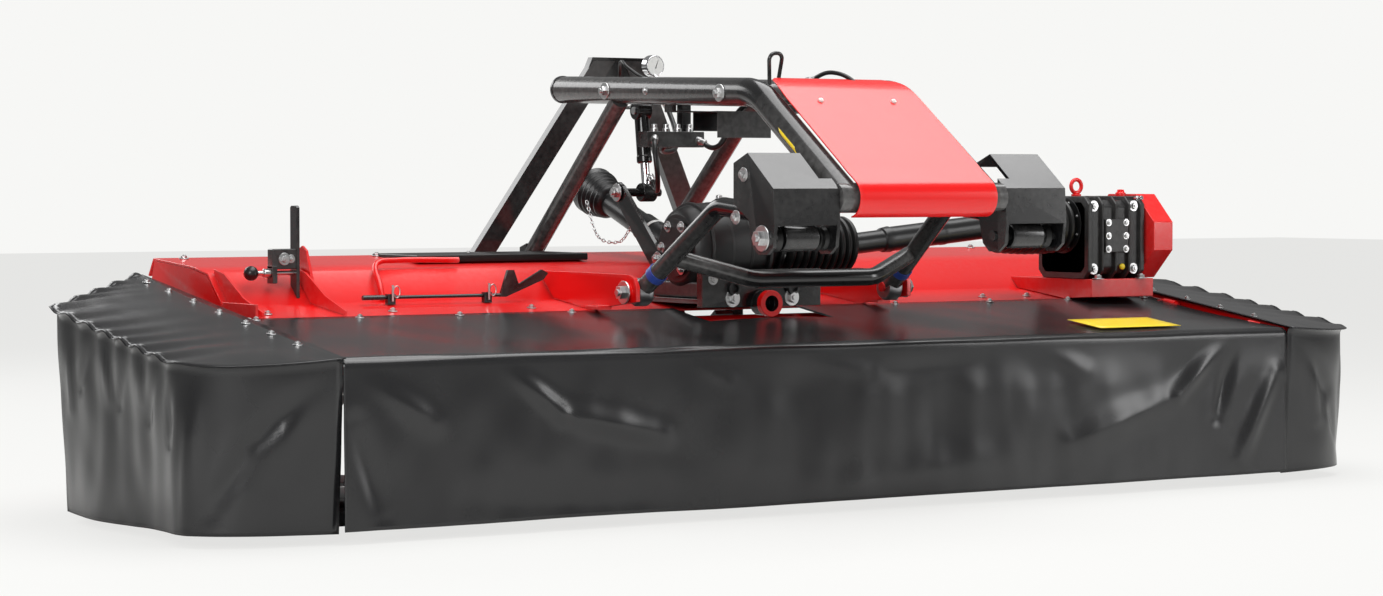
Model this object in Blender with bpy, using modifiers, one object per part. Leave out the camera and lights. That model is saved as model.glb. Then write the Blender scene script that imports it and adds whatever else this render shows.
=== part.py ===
"""Front-mounted, pulled disc mower with a flail conditioner.

Metres, +Z up. Travel is towards -Y and the tractor stands at +Y. Lengths along Y
are measured from the front skirt's plane, and the whole machine hangs on one empty
that moves it back so that the origin lies on the floor under its centre.
"""
import math

import bmesh
import bpy
from mathutils import Matrix, Vector

# ---------------------------------------------------------------- driving dimensions
SKIN = 0.0003              # gap left between touching pieces
SEAT = 0.0006              # the same round a tube
CROSS_Y = -0.262           # headstock's front cross tube
CROSS_Z = 0.845
ROLL_R = 0.055             # hood's rolled front edge
FRONT_REACH = CROSS_Y - ROLL_R
REAR_REACH = 1.600         # swath boards' rear edge
MIDDLE_Y = (FRONT_REACH + REAR_REACH) / 2

# cutter bar and discs
DISC_COUNT = 8
DISC_PITCH = 0.42
DISC_Y = 0.500
DISC_LONG = 0.225
DISC_SHORT = 0.140
DISC_Z = 0.105             # underside of the disc rim
DISC_THICK = 0.012
DOME_HIGH = 0.045
KNIFE_REACH = 0.262
KNIFE_ROOT = 0.170
KNIFE_WIDE = 0.045
KNIFE_THICK = 0.004
HUB_R = 0.060
HUB_GAP = 0.0006
BAR_FRONT = 0.370
BAR_BACK = 0.660
BAR_LOW = 0.022
BAR_TOP = 0.075
BAR_HALF = 1.655
SKID_FRONT = 0.285
SKID_BACK = 0.700
SKID_GAP = 0.040
SKID_THICK = 0.034

# conditioner hood and its end plates, profile points are (y, z)
HOOD_HALF = 1.475
HOOD_SHEET = 0.006
HOOD_LIP = (0.620, 0.528)
HOOD_FOOT = (0.850, 0.556)
HOOD_BROW = (0.947, 0.640)
HOOD_BEND = (1.040, 0.656)
HOOD_BACK = (1.310, 0.674)
HOOD_TAIL = (1.345, 0.626)
END_THICK = 0.010
END_FRONT = 0.775              # clear of the outer discs' knives
END_LOW = 0.060
BOARD_X = 1.220
BOARD_THICK = 0.008
BOARD_LOW = 0.060
BOARD_HIGH = 0.480

# conditioner rotor
ROTOR_Y = 1.060
ROTOR_Z = 0.375
ROTOR_R = 0.085
ROTOR_HALF = 1.405
TINE_REACH = 0.225
TINE_WIDE = 0.060
TINE_THICK = 0.014
TINE_PITCH = 0.275
AXLE_R = 0.025
BEARING_R = 0.055
BEARING_OUT = 0.018
BEARING_IN = 0.030
BEARING_GAP = 0.001

# skirts
SKIRT_THICK = 0.006
SKIRT_LOW = 0.030
FRONT_HIGH = 0.452
FRONT_HALF = 1.522             # top side of the front skirt
FRONT_WALL_HALF = 1.539        # its hanging side
CARRIER_HALF = 0.200           # plates that carry the middle gearbox
FRONT_RISE = (0.250, 0.482)    # where the top side of the front skirt bends (y, z)
SIDE_HALF = 1.912
CORNER_BACK = 0.217
SIDE_BACK = 0.930
COVER_BACK = 1.220
COVER_LOW = 0.022
COVER_EDGE = 1.545             # inner edge of a side cover
COVER_FRONT_Z = 0.460
COVER_RISE = 0.140             # rise of a side cover per metre towards the back
COVER_FALL = 0.090             # fall of a side cover per metre outwards
RAIL_R = 0.016
RAIL_FRONT = 0.060

# side cover hinges: the axis follows the cover's slope
HINGE_X = 1.548
HINGE_DROP = 0.020             # axis below the cover's top side
HINGE_R = 0.007
HINGE_EYE_R = 0.0115
HINGE_LONG = 0.050
HINGE_EAR = 0.006
HINGE_NOTCH = 0.030
HINGE_STATIONS = (0.140, 0.520, 1.020)
COVER_OPEN = 90.0

# headstock
TUBE_R = 0.039
TUBE_X = 0.230
TUBE_REAR = (1.180, 1.157)
TUBE_KNEE = (0.145, 1.126)
TUBE_BEND = 0.180
BRACE_R = 0.027
BRACE_TOP = (0.860, 1.118)
BRACE_FOOT = (1.400, 0.636)
TIE_R = 0.030
TIE_REAR_Y = 0.880
TIE_REAR_Z = 1.146
TIE_FRONT_Y = 0.280
TIE_FRONT_Z = 1.127
FRAME_TOP = (0.054, 1.251, 1.247)    # coupling frame's leg, top (x, y, z)
FRAME_FOOT = (0.455, 1.420, 0.555)   # and foot
FRAME_WIDE = 0.065
FRAME_THICK = 0.030
BRACKET_OUT = 0.474
BRACKET_IN = 0.2695
BRACKET_SHEET = 0.010
ARM_PIVOT = (-0.235, 0.742)
ARM_X = (0.368, 0.420)         # at the pivot and at the ball joint
ARM_R = 0.026
ARM_BALL = (0.440, 0.585)
PIN_R = 0.014
HOOP_R = 0.024
HOOD_WIDTH = 0.400

# drive line
SHAFT_Y = 0.620
CROSS_IN_Z = 0.703
CROSS_OUT_Z = 0.754
BELLOWS_R = 0.088
BELLOWS_MOUTH = 0.60         # radius at an end and between ribs, as shares
BELLOWS_WAIST = 0.86
BELLOWS_SIDES = 18
BELLOWS_IN_X = (0.140, 0.400)
BELLOWS_OUT_X = (0.930, 1.200)
GUARD_R = (0.031, 0.036)
GUARD_STEP_X = 0.520
SIDE_BOX = ((1.205, 0.500, 0.592), (1.425, 0.740, 0.842))
BELT_X = (1.437, 1.512)
BELT_Y = (0.470, 0.770)
BELT_Z = (0.592, 0.848)
BELT_CORNER = 0.085
CENTRE_BOX = ((-0.190, 0.500, 0.560), (0.110, 0.780, 0.790))
PTO_R = 0.036
PTO_FRONT = (0.812, 0.648)
PTO_BACK = (1.330, 0.838)
CONE_R = 0.073
CONE_LONG = 0.110

# parking legs
LEG_X = 0.530
LEG_Y = 1.414
LEG_TOP = 0.620
LEG_PIN_R = 0.012
LEG_SIDE = 0.040
FOOT_SIDE = 0.120
FOOT_THICK = 0.008

PAINT = {
    "red": ((0.80, 0.015, 0.012), 0.32, 0.0),
    "black": ((0.015, 0.015, 0.017), 0.35, 0.0),
    "cast": ((0.020, 0.020, 0.022), 0.55, 0.1),
    "tarpaulin": ((0.022, 0.022, 0.024), 0.30, 0.0),
    "rubber": ((0.018, 0.018, 0.018), 0.60, 0.0),
    "steel": ((0.42, 0.42, 0.44), 0.40, 1.0),
    "chrome": ((0.75, 0.76, 0.78), 0.12, 1.0),
    "plastic": ((0.020, 0.020, 0.020), 0.45, 0.0),
}


# ---------------------------------------------------------------- scene helpers
def empty_scene():
    for ob in list(bpy.data.objects):
        bpy.data.objects.remove(ob, do_unlink=True)


def material(name):
    found = bpy.data.materials.get(name)
    if found:
        return found
    colour, rough, metal = PAINT[name]
    mat = bpy.data.materials.new(name)
    mat.use_nodes = True
    shader = mat.node_tree.nodes["Principled BSDF"]
    shader.inputs["Base Color"].default_value = (*colour, 1.0)
    shader.inputs["Roughness"].default_value = rough
    shader.inputs["Metallic"].default_value = metal
    return mat


def anchor(name, place, parent=None):
    ob = bpy.data.objects.new(name, None)
    ob.empty_display_size = 0.05
    ob.location = place
    ob.parent = parent
    PARTS.objects.link(ob)
    return ob


def shape(mesh, name="piece"):
    ob = bpy.data.objects.new(name, mesh)
    PARTS.objects.link(ob)
    return ob


def box(low, high):
    """A box between two corners."""
    bm = bmesh.new()
    size = [h - l for l, h in zip(low, high)]
    middle = [(h + l) / 2 for l, h in zip(low, high)]
    place = Matrix.Translation(middle) @ Matrix.Diagonal((*size, 1.0))
    bmesh.ops.create_cube(bm, size=1.0, matrix=place)
    mesh = bpy.data.meshes.new("box")
    bm.to_mesh(mesh)
    bm.free()
    return shape(mesh)


def rod(start, end, radius, far_radius=None, sides=14):
    """A round bar, or a cone, from start to end."""
    a, b = Vector(start), Vector(end)
    turn = (b - a).to_track_quat("Z", "Y").to_matrix().to_4x4()
    bm = bmesh.new()
    bmesh.ops.create_cone(
        bm, cap_ends=True, segments=sides, radius1=radius,
        radius2=radius if far_radius is None else far_radius,
        depth=(b - a).length, matrix=Matrix.Translation((a + b) / 2) @ turn)
    mesh = bpy.data.meshes.new("rod")
    bm.to_mesh(mesh)
    bm.free()
    return shape(mesh)


def settle(ob):
    """Turn a curve object into a welded mesh object in the same place."""
    bpy.context.view_layer.update()
    graph = bpy.context.evaluated_depsgraph_get()
    mesh = bpy.data.meshes.new_from_object(ob.evaluated_get(graph))
    bm = bmesh.new()
    bm.from_mesh(mesh)
    bmesh.ops.remove_doubles(bm, verts=bm.verts, dist=0.00005)
    bmesh.ops.recalc_face_normals(bm, faces=bm.faces)
    bm.to_mesh(mesh)
    bm.free()
    new = shape(mesh)
    new.matrix_world = ob.matrix_world.copy()
    bpy.data.objects.remove(ob, do_unlink=True)
    return new


def plate(outline, normal, level, thick):
    """A flat plate: an outline of (u, v) points, square to an axis, centred on level.

    Square to X the outline is (y, z), square to Y it is (x, z), square to Z (x, y).
    """
    curve = bpy.data.curves.new("plate", "CURVE")
    curve.dimensions = "2D"
    curve.fill_mode = "BOTH"
    curve.extrude = thick / 2
    line = curve.splines.new("POLY")
    line.points.add(len(outline) - 1)
    for point, (u, v) in zip(line.points, outline):
        point.co = (u, v, 0.0, 1.0)
    line.use_cyclic_u = True
    ob = bpy.data.objects.new("plate", curve)
    PARTS.objects.link(ob)
    columns = {"X": ((0, 1, 0), (0, 0, 1), (1, 0, 0)),
               "Y": ((1, 0, 0), (0, 0, 1), (0, -1, 0)),
               "Z": ((1, 0, 0), (0, 1, 0), (0, 0, 1))}[normal]
    turn = Matrix(columns).transposed().to_4x4()
    place = {"X": (level, 0, 0), "Y": (0, level, 0), "Z": (0, 0, level)}[normal]
    ob.matrix_world = Matrix.Translation(place) @ turn
    return settle(ob)


def rounded(points, radius, steps=5):
    """The points of a route whose inner corners are arcs of the given radius."""
    route = [Vector(points[0])]
    for before, corner, after in zip(points, points[1:], points[2:]):
        corner = Vector(corner)
        back = (Vector(before) - corner).normalized()
        on = (Vector(after) - corner).normalized()
        half = back.angle(on) / 2
        reach = radius / math.tan(half)
        middle = corner + (back + on).normalized() * (radius / math.sin(half))
        first = (corner + back * reach - middle).normalized()
        last = (corner + on * reach - middle).normalized()
        for i in range(steps + 1):
            route.append(middle + first.slerp(last, i / steps) * radius)
    route.append(Vector(points[-1]))
    return route


def tube(route, radius, sides=8):
    """A solid round tube along a route of points."""
    curve = bpy.data.curves.new("tube", "CURVE")
    curve.dimensions = "3D"
    curve.bevel_depth = radius
    curve.bevel_resolution = sides // 4 - 1
    curve.use_fill_caps = True
    line = curve.splines.new("POLY")
    line.points.add(len(route) - 1)
    for point, place in zip(line.points, route):
        point.co = (*place, 1.0)
    ob = bpy.data.objects.new("tube", curve)
    PARTS.objects.link(ob)
    return settle(ob)


def folded(profile, thick, low_x, high_x):
    """A sheet folded along X: the (y, z) profile runs along its outer side."""
    outer = [Vector((y, z)) for y, z in profile]
    inner = []
    for i, point in enumerate(outer):
        sides = []
        if i:
            sides.append((point - outer[i - 1]).normalized())
        if i < len(outer) - 1:
            sides.append((outer[i + 1] - point).normalized())
        normals = [Vector((s.y, -s.x)) for s in sides]
        mean = sum(normals, Vector((0, 0))).normalized()
        inner.append(point + mean * (thick / mean.dot(normals[0])))
    ring = [tuple(p) for p in outer] + [tuple(p) for p in reversed(inner)]
    return plate(ring, "X", (low_x + high_x) / 2, high_x - low_x)


def reshape(ob, change):
    """Apply a matrix to a piece in the machine's frame, a shear or a mirror included."""
    ob.data.transform(ob.matrix_world.inverted() @ change @ ob.matrix_world)


def bake(ob):
    """Apply an object's modifiers."""
    bpy.context.view_layer.update()
    graph = bpy.context.evaluated_depsgraph_get()
    mesh = bpy.data.meshes.new_from_object(ob.evaluated_get(graph))
    ob.modifiers.clear()
    ob.data = mesh


def combine(base, others, how="UNION"):
    """Join others to base, or cut them from it."""
    for other in others:
        step = base.modifiers.new(how.lower(), "BOOLEAN")
        step.operation = how
        step.solver = "EXACT"
        step.object = other
        bake(base)
        bpy.data.objects.remove(other, do_unlink=True)
    return base


def cut(base, others):
    return combine(base, others, "DIFFERENCE")


def mirrored(ob):
    """A copy of a piece on the other side of the machine."""
    mesh = ob.data.copy()
    bm = bmesh.new()
    bm.from_mesh(mesh)
    bm.transform(Matrix.Scale(-1, 4, (1, 0, 0)) @ ob.matrix_world)
    bmesh.ops.reverse_faces(bm, faces=bm.faces)
    bm.to_mesh(mesh)
    bm.free()
    return shape(mesh)


def finish(ob, name, paint, parent):
    """Name and paint a piece and hang it on the machine, or on its joint's axis."""
    place = Vector((0.0, 0.0, 0.0)) if parent is MACHINE else parent.location
    mesh = ob.data
    mesh.transform(Matrix.Translation(-place) @ ob.matrix_world)
    ob.matrix_world = Matrix.Identity(4)
    ob.parent = parent
    ob.location = (0.0, 0.0, 0.0)
    ob.name = name
    mesh.name = name
    mesh.materials.clear()
    mesh.materials.append(material(paint))
    mesh.shade_smooth()
    mesh.set_sharp_from_angle(angle=math.radians(35))
    return ob


def both_sides(ob, name, paint, parent):
    """The left piece and its mirrored right twin."""
    twin = mirrored(ob)
    finish(ob, name + "_left", paint, parent)
    finish(twin, name + "_right", paint, parent)


# ---------------------------------------------------------------- cutter bar and discs
def disc_centres():
    first = -DISC_PITCH * (DISC_COUNT - 1) / 2
    return [first + DISC_PITCH * i for i in range(DISC_COUNT)]


def build_cutter_bar():
    bar = box((-BAR_HALF, BAR_FRONT, BAR_LOW), (BAR_HALF, BAR_BACK, BAR_TOP))
    profile = [(SKID_FRONT, 0.050), (SKID_FRONT + 0.050, 0.012), (SKID_FRONT + 0.115, 0.0),
               (SKID_BACK, 0.0), (SKID_BACK, SKID_THICK), (SKID_FRONT + 0.115, SKID_THICK),
               (SKID_FRONT + 0.065, SKID_THICK), (SKID_FRONT + 0.010, 0.060)]
    extras = []
    for x in disc_centres():
        extras.append(rod((x, DISC_Y, BAR_TOP - 0.02), (x, DISC_Y, DISC_Z - HUB_GAP), HUB_R))
        extras.append(plate(profile, "X", x, DISC_PITCH - SKID_GAP))
    combine(bar, extras)
    finish(bar, "cutter_bar", "steel", MACHINE)


def build_discs():
    for number, x in enumerate(disc_centres(), start=1):
        disc = rod((0, 0, 0), (0, 0, DISC_THICK), 1.0, sides=24)
        dome = rod((0, 0, DISC_THICK - 0.002), (0, 0, DOME_HIGH), 0.62, 0.34, sides=24)
        for piece in (disc, dome):
            piece.data.transform(Matrix.Diagonal((DISC_LONG, DISC_SHORT, 1.0, 1.0)))
        knives = []
        for side in (-1, 1):
            ends = sorted((side * KNIFE_ROOT, side * KNIFE_REACH))
            knives.append(box((ends[0], -KNIFE_WIDE / 2, -KNIFE_THICK),
                              (ends[1], KNIFE_WIDE / 2, 0.001)))
        combine(disc, [dome] + knives)
        if number % 2 == 0:
            disc.data.transform(Matrix.Rotation(math.pi / 2, 4, "Z"))
        centre = (x, DISC_Y, DISC_Z)
        disc.data.transform(Matrix.Translation(centre))
        spindle = anchor(f"disc_{number}_axis", centre, MACHINE)
        finish(disc, f"disc_{number}", "steel", spindle)


# ---------------------------------------------------------------- conditioner
def build_hood():
    profile = [HOOD_LIP, HOOD_FOOT, HOOD_BROW, HOOD_BEND, HOOD_BACK, HOOD_TAIL]
    hood = folded(profile, HOOD_SHEET, -HOOD_HALF, HOOD_HALF)
    finish(hood, "conditioner_hood", "red", MACHINE)


def build_end_plates():
    """Side walls under the hood, which carry the rotor and hold the cutter bar."""
    under = HOOD_SHEET + SKIN + 0.001
    side = plate([(END_FRONT, 0.036), (1.150, END_LOW), (1.290, 0.160), (1.325, 0.600),
                  (HOOD_BACK[0] - 0.008, HOOD_BACK[1] - under),
                  (HOOD_BEND[0], HOOD_BEND[1] - under),
                  (HOOD_BROW[0] + 0.004, HOOD_BROW[1] - under),
                  (HOOD_FOOT[0] + 0.004, HOOD_FOOT[1] - under),
                  (END_FRONT, HOOD_FOOT[1] - under - 0.009)],
                 "X", -HOOD_HALF + END_THICK / 2, END_THICK)
    outer = -HOOD_HALF - BEARING_OUT
    inner = -HOOD_HALF + END_THICK + BEARING_IN
    bearing = rod((outer, ROTOR_Y, ROTOR_Z), (inner, ROTOR_Y, ROTOR_Z), BEARING_R)
    shoulder = box((-BAR_HALF + 0.055, BAR_BACK + SKIN, SKID_THICK + 0.004),
                   (-HOOD_HALF + 0.005, END_FRONT + 0.060, BAR_TOP))
    combine(side, [bearing, shoulder] + hinge_ears(-1, HOOD_HALF - 0.005, HINGE_STATIONS[2]))
    cut(side, [rod((outer - 0.01, ROTOR_Y, ROTOR_Z), (inner + 0.01, ROTOR_Y, ROTOR_Z),
                   AXLE_R + BEARING_GAP)])
    both_sides(side, "end_plate", "red", MACHINE)


def build_swath_boards():
    board = plate([(HOOD_TAIL[0] + SKIN, BOARD_LOW), (REAR_REACH, BOARD_LOW),
                   (REAR_REACH, BOARD_HIGH - 0.06), (REAR_REACH - 0.08, BOARD_HIGH),
                   (HOOD_TAIL[0] + 0.030, HOOD_TAIL[1] + 0.030),
                   (HOOD_TAIL[0] + SKIN, HOOD_TAIL[1] + 0.020)],
                  "X", -BOARD_X, BOARD_THICK)
    flange = box((-BOARD_X - 0.060, HOOD_TAIL[0] + SKIN, HOOD_TAIL[1] - 0.040),
                 (-BOARD_X + 0.060, HOOD_TAIL[0] + 0.006, HOOD_TAIL[1] + 0.020))
    combine(board, [flange])
    both_sides(board, "swath_board", "red", MACHINE)


def build_rotor():
    rotor = rod((-ROTOR_HALF, 0, 0), (ROTOR_HALF, 0, 0), ROTOR_R, sides=24)
    stub = HOOD_HALF + BEARING_OUT - 0.004
    extras = [rod((-stub, 0, 0), (stub, 0, 0), AXLE_R)]
    count = int(2 * ROTOR_HALF // TINE_PITCH)
    first = -TINE_PITCH * (count - 1) / 2
    for column in range(count):
        x = first + TINE_PITCH * column
        for row in range(4):
            tine = box((x - TINE_WIDE / 2, -TINE_THICK / 2, ROTOR_R - 0.02),
                       (x + TINE_WIDE / 2, TINE_THICK / 2, TINE_REACH))
            turn = math.radians(90 * row + (45 if column % 2 else 0) + 10)
            tine.data.transform(Matrix.Rotation(turn, 4, "X"))
            extras.append(tine)
    combine(rotor, extras)
    centre = (0.0, ROTOR_Y, ROTOR_Z)
    rotor.data.transform(Matrix.Translation(centre))
    spindle = anchor("rotor_axis", centre, MACHINE)
    finish(rotor, "conditioner_rotor", "black", spindle)


# ---------------------------------------------------------------- skirts
def build_front_skirt():
    tail = (HOOD_LIP[0] - SKIN, HOOD_LIP[1])
    profile = [(0.0, SKIRT_LOW), (0.0, FRONT_HIGH), FRONT_RISE, tail]
    skirt = folded(profile, SKIRT_THICK, -FRONT_HALF, FRONT_HALF)
    wall = box((-FRONT_WALL_HALF, 0.0, SKIRT_LOW), (FRONT_WALL_HALF, SKIRT_THICK, FRONT_HIGH - 0.050))
    combine(skirt, [wall])
    cut(skirt, [box((-CARRIER_HALF - 0.015, 0.420, 0.400), (CARRIER_HALF + 0.015, 0.700, 0.600))])
    finish(skirt, "front_skirt", "tarpaulin", MACHINE)

    low = FRONT_HIGH - SKIRT_THICK - RAIL_R - 0.004
    rail = tube(rounded([(-FRONT_HALF + 0.04, HOOD_LIP[0] - 0.03, HOOD_LIP[1] - 0.035),
                         (-FRONT_HALF + 0.04, RAIL_FRONT - 0.03, low),
                         (FRONT_HALF - 0.04, RAIL_FRONT - 0.03, low),
                         (FRONT_HALF - 0.04, HOOD_LIP[0] - 0.03, HOOD_LIP[1] - 0.035)], 0.05),
                RAIL_R)
    extras = []
    for x in (-0.9, -0.3, 0.3, 0.9):
        extras.append(rod((x, RAIL_FRONT - 0.03, low),
                          (x, HOOD_LIP[0] - 0.03, HOOD_LIP[1] - 0.035), RAIL_R - 0.002, sides=12))
    extras.append(rod((-FRONT_HALF + 0.04, HOOD_LIP[0] - 0.03, HOOD_LIP[1] - 0.035),
                      (FRONT_HALF - 0.04, HOOD_LIP[0] - 0.03, HOOD_LIP[1] - 0.035),
                      RAIL_R, sides=12))
    for side in (-1, 1):
        for y in HINGE_STATIONS[:2]:
            extras.extend(hinge_ears(side, FRONT_HALF - 0.040, y))
    combine(rail, extras)
    finish(rail, "skirt_frame", "red", MACHINE)


def cover_outline(inset):
    """Plan of the left side cover, from its front seam round to its rear seam."""
    wide = SIDE_HALF - COVER_EDGE - inset
    deep = CORNER_BACK - inset
    points = []
    for i in range(7):
        turn = math.radians(90 * i / 6)
        points.append((-COVER_EDGE - wide * math.sin(turn),
                       inset + deep * (1 - math.cos(turn))))
    return points


def cover_top(x, y):
    """Height of a side cover's top at a place on it."""
    return COVER_FRONT_Z + COVER_RISE * y - COVER_FALL * (abs(x) - COVER_EDGE)


def cover_block(inset, low, drop, spare):
    """A solid of the cover's plan whose top side slopes as the cover does."""
    outline = cover_outline(inset)
    outline.append((-SIDE_HALF + inset, SIDE_BACK + spare))
    outline.append((-COVER_EDGE + spare, COVER_BACK + spare))
    outline.append((-COVER_EDGE + spare, inset))
    high = 0.70
    block = plate(outline, "Z", (low + high) / 2, high - low)
    lid = box((-2.2, -0.3, 0.0), (-1.2, 1.6, 0.5))
    slope = Matrix.Identity(4)
    slope[2][0] = COVER_FALL
    slope[2][1] = COVER_RISE
    slope[2][3] = COVER_FRONT_Z + COVER_FALL * COVER_EDGE - drop
    lid.data.transform(slope)
    return cut(block, [lid])


def hinge_point(side, y):
    """A place on a side cover's hinge axis."""
    return Vector((side * HINGE_X, y, cover_top(HINGE_X, y) - HINGE_DROP))


def along_hinge(side, y, start, end, radius):
    """A round piece on the hinge axis, between two distances from a place on it."""
    slope = (hinge_point(side, 1.0) - hinge_point(side, 0.0)).normalized()
    middle = hinge_point(side, y)
    return rod(middle + slope * start, middle + slope * end, radius, sides=16)


def hinge_ears(side, root_x, y):
    """A fixed hinge pin with the two ears that join it to what carries it."""
    reach = HINGE_LONG / 2 + 0.005
    pieces = [along_hinge(side, y, -reach - HINGE_EAR, reach + HINGE_EAR, HINGE_R)]
    for start in (-reach - HINGE_EAR + 0.001, reach - 0.001):
        x, y_ear, z = hinge_point(side, y + start)
        outer = x + side * 0.008
        step = side * (FRONT_HALF + 0.0015)
        outline = [(side * root_x, z - 0.045), (outer, z - 0.045), (outer, z + 0.006),
                   (step, z + 0.006), (step, z - 0.010), (side * root_x, z - 0.010)]
        pieces.append(plate(outline, "Y", y_ear + HINGE_EAR / 2, HINGE_EAR))
    return pieces


def hinge_notch(y):
    """The room that a hinge's ears need in the left cover's inner edge as it opens."""
    reach = HINGE_LONG / 2 + 0.017
    height = cover_top(HINGE_X, y)
    return box((-HINGE_X - HINGE_NOTCH, y - reach, height - 0.05), (-COVER_EDGE + 0.05, y + reach, height + 0.05))


def build_side_covers():
    for name, sign in (("left", -1), ("right", 1)):
        cover = cover_block(0.0, COVER_LOW, 0.0, 0.0)
        cut(cover, [cover_block(SKIRT_THICK, COVER_LOW - 0.1, SKIRT_THICK, 0.05)])
        cut(cover, [hinge_notch(y) for y in HINGE_STATIONS])
        frame = build_cover_frame()
        if sign > 0:
            for piece in (cover, frame):
                reshape(piece, Matrix.Scale(-1, 4, (1, 0, 0)))
                piece.data.flip_normals()
        axis = anchor(f"cover_{name}_axis", hinge_point(sign, HINGE_STATIONS[1]), MACHINE)
        finish(cover, f"side_cover_{name}", "tarpaulin", axis)
        finish(frame, f"cover_frame_{name}", "red", axis)


def build_cover_frame():
    """Tubes under a side cover, with the eyes that turn on the hinge pins."""
    under = SKIRT_THICK + RAIL_R + SEAT

    def place(x, y):
        return Vector((x, y, cover_top(x, y) - under))
    inner = -HINGE_X - 0.032
    outer = -SIDE_HALF + SKIRT_THICK + RAIL_R + 0.006
    route = [place(inner, 0.060), place(inner - 0.20, 0.085), place(outer, CORNER_BACK + 0.03),
             place(outer, SIDE_BACK - 0.01), place(inner, COVER_BACK - 0.11)]
    frame = tube(rounded(route, 0.05, 3), RAIL_R)
    extras = [rod(place(inner, 0.055), place(inner, COVER_BACK - 0.10), RAIL_R, sides=12),
              rod(place(inner, 0.55), place(outer, 0.55), RAIL_R - 0.002, sides=12)]
    for y in HINGE_STATIONS:
        half = HINGE_LONG / 2
        extras.append(along_hinge(-1, y, -half, half, HINGE_EYE_R))
        eye = hinge_point(-1, y)
        extras.append(box((inner, y - half + 0.006, eye.z - 0.008), (-HINGE_X, y + half - 0.006, eye.z + 0.002)))
    combine(frame, extras)
    for y in HINGE_STATIONS:
        cut(frame, [along_hinge(-1, y, -HINGE_LONG, HINGE_LONG, HINGE_R + 0.0006)])
    return frame


# ---------------------------------------------------------------- headstock
def build_headstock():
    for name, sign in (("left", -1), ("right", 1)):
        x = sign * TUBE_X
        route = rounded([(x, *TUBE_REAR), (x, *TUBE_KNEE), (x, CROSS_Y, CROSS_Z)], TUBE_BEND, 4)
        side = tube(route, TUBE_R, 12)
        brace = rod((x, BRACE_TOP[0], BRACE_TOP[1]), (x, *BRACE_FOOT), BRACE_R)
        combine(side, [brace])
        if sign < 0:
            frame = side
        else:
            combine(frame, [side])
    cross = rod((-BRACKET_IN + 0.002, CROSS_Y, CROSS_Z), (BRACKET_IN - 0.002, CROSS_Y, CROSS_Z), TUBE_R)
    ties = [rod((-TUBE_X, TIE_REAR_Y, TIE_REAR_Z), (TUBE_X, TIE_REAR_Y, TIE_REAR_Z), TIE_R),
            rod((-TUBE_X, TIE_FRONT_Y, TIE_FRONT_Z), (TUBE_X, TIE_FRONT_Y, TIE_FRONT_Z), TIE_R)]
    combine(frame, [cross] + ties)
    cut(frame, [coupling_beam(SKIN)])
    finish(frame, "headstock", "black", MACHINE)


def leant(ob):
    """Lean an upright piece at Y = 0 into the plane of the coupling frame."""
    top, foot = Vector(FRAME_TOP), Vector(FRAME_FOOT)
    lean = (top.y - foot.y) / (top.z - foot.z)
    shear = Matrix.Identity(4)
    shear[1][2] = lean
    shear[1][3] = top.y - lean * top.z
    reshape(ob, shear)
    return ob


def coupling_beam(grow):
    """The coupling frame's lower cross beam, larger by `grow` as a cutter."""
    deep = FRAME_THICK / 2 - 0.003 + grow
    foot = Vector(FRAME_FOOT)
    return leant(box((-foot.x, -deep, foot.z + 0.040 - grow), (foot.x, deep, foot.z + 0.110 + grow)))


def build_coupling_frame():
    """The A-shaped frame that the tractor takes hold of."""
    top, foot = Vector(FRAME_TOP), Vector(FRAME_FOOT)
    half = FRAME_WIDE / 2 / math.sin(math.atan2(top.z - foot.z, foot.x - top.x))
    left = plate([(-foot.x - half, foot.z), (-foot.x + half, foot.z), (-top.x + half, top.z),
                  (-top.x - half, top.z)], "Y", 0.0, FRAME_THICK)
    frame = left
    right = mirrored(left)
    head = plate([(-0.125, top.z - 0.090), (0.125, top.z - 0.090), (0.095, top.z + 0.010),
                  (-0.095, top.z + 0.010)], "Y", 0.0, FRAME_THICK - 0.004)
    combine(frame, [right, head])
    leant(frame)
    combine(frame, [coupling_beam(0.0)])
    pin = rod((-LEG_X - LEG_SIDE / 2 - 0.012, LEG_Y, LEG_TOP - 0.030),
              (LEG_X + LEG_SIDE / 2 + 0.012, LEG_Y, LEG_TOP - 0.030), LEG_PIN_R)
    combine(frame, [pin])
    finish(frame, "coupling_frame", "black", MACHINE)


# ---------------------------------------------------------------- front linkage
def build_brackets():
    """Folded sheet boxes on the cross tube that carry the pulling arms' pivots."""
    pivot_y, pivot_z = ARM_PIVOT
    side = [(-0.165, 0.961), (-0.284, 0.869), (-0.290, 0.775), (-0.282, 0.720), (-0.255, 0.700),
            (-0.215, 0.700), (-0.188, 0.722), (-0.170, 0.790), (-0.100, 0.830), (-0.100, 0.935)]
    outer = plate(side, "X", -BRACKET_OUT + BRACKET_SHEET / 2, BRACKET_SHEET)
    inner = plate(side, "X", -BRACKET_IN - BRACKET_SHEET / 2, BRACKET_SHEET)
    roof = folded([(-0.290, 0.775), (-0.284, 0.869), (-0.165, 0.961), (-0.100, 0.935)],
                  BRACKET_SHEET, -BRACKET_OUT + 0.001, -BRACKET_IN - 0.001)
    combine(outer, [inner, roof])
    notch = box((-TUBE_X - 0.080, -0.250, 0.880), (-BRACKET_IN + 0.010, -0.050, 1.000))
    cut(outer, [notch])
    pin = rod((-BRACKET_OUT - 0.006, pivot_y, pivot_z), (-BRACKET_IN + 0.006, pivot_y, pivot_z), PIN_R)
    combine(outer, [pin])
    both_sides(outer, "pull_bracket", "black", MACHINE)


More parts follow.
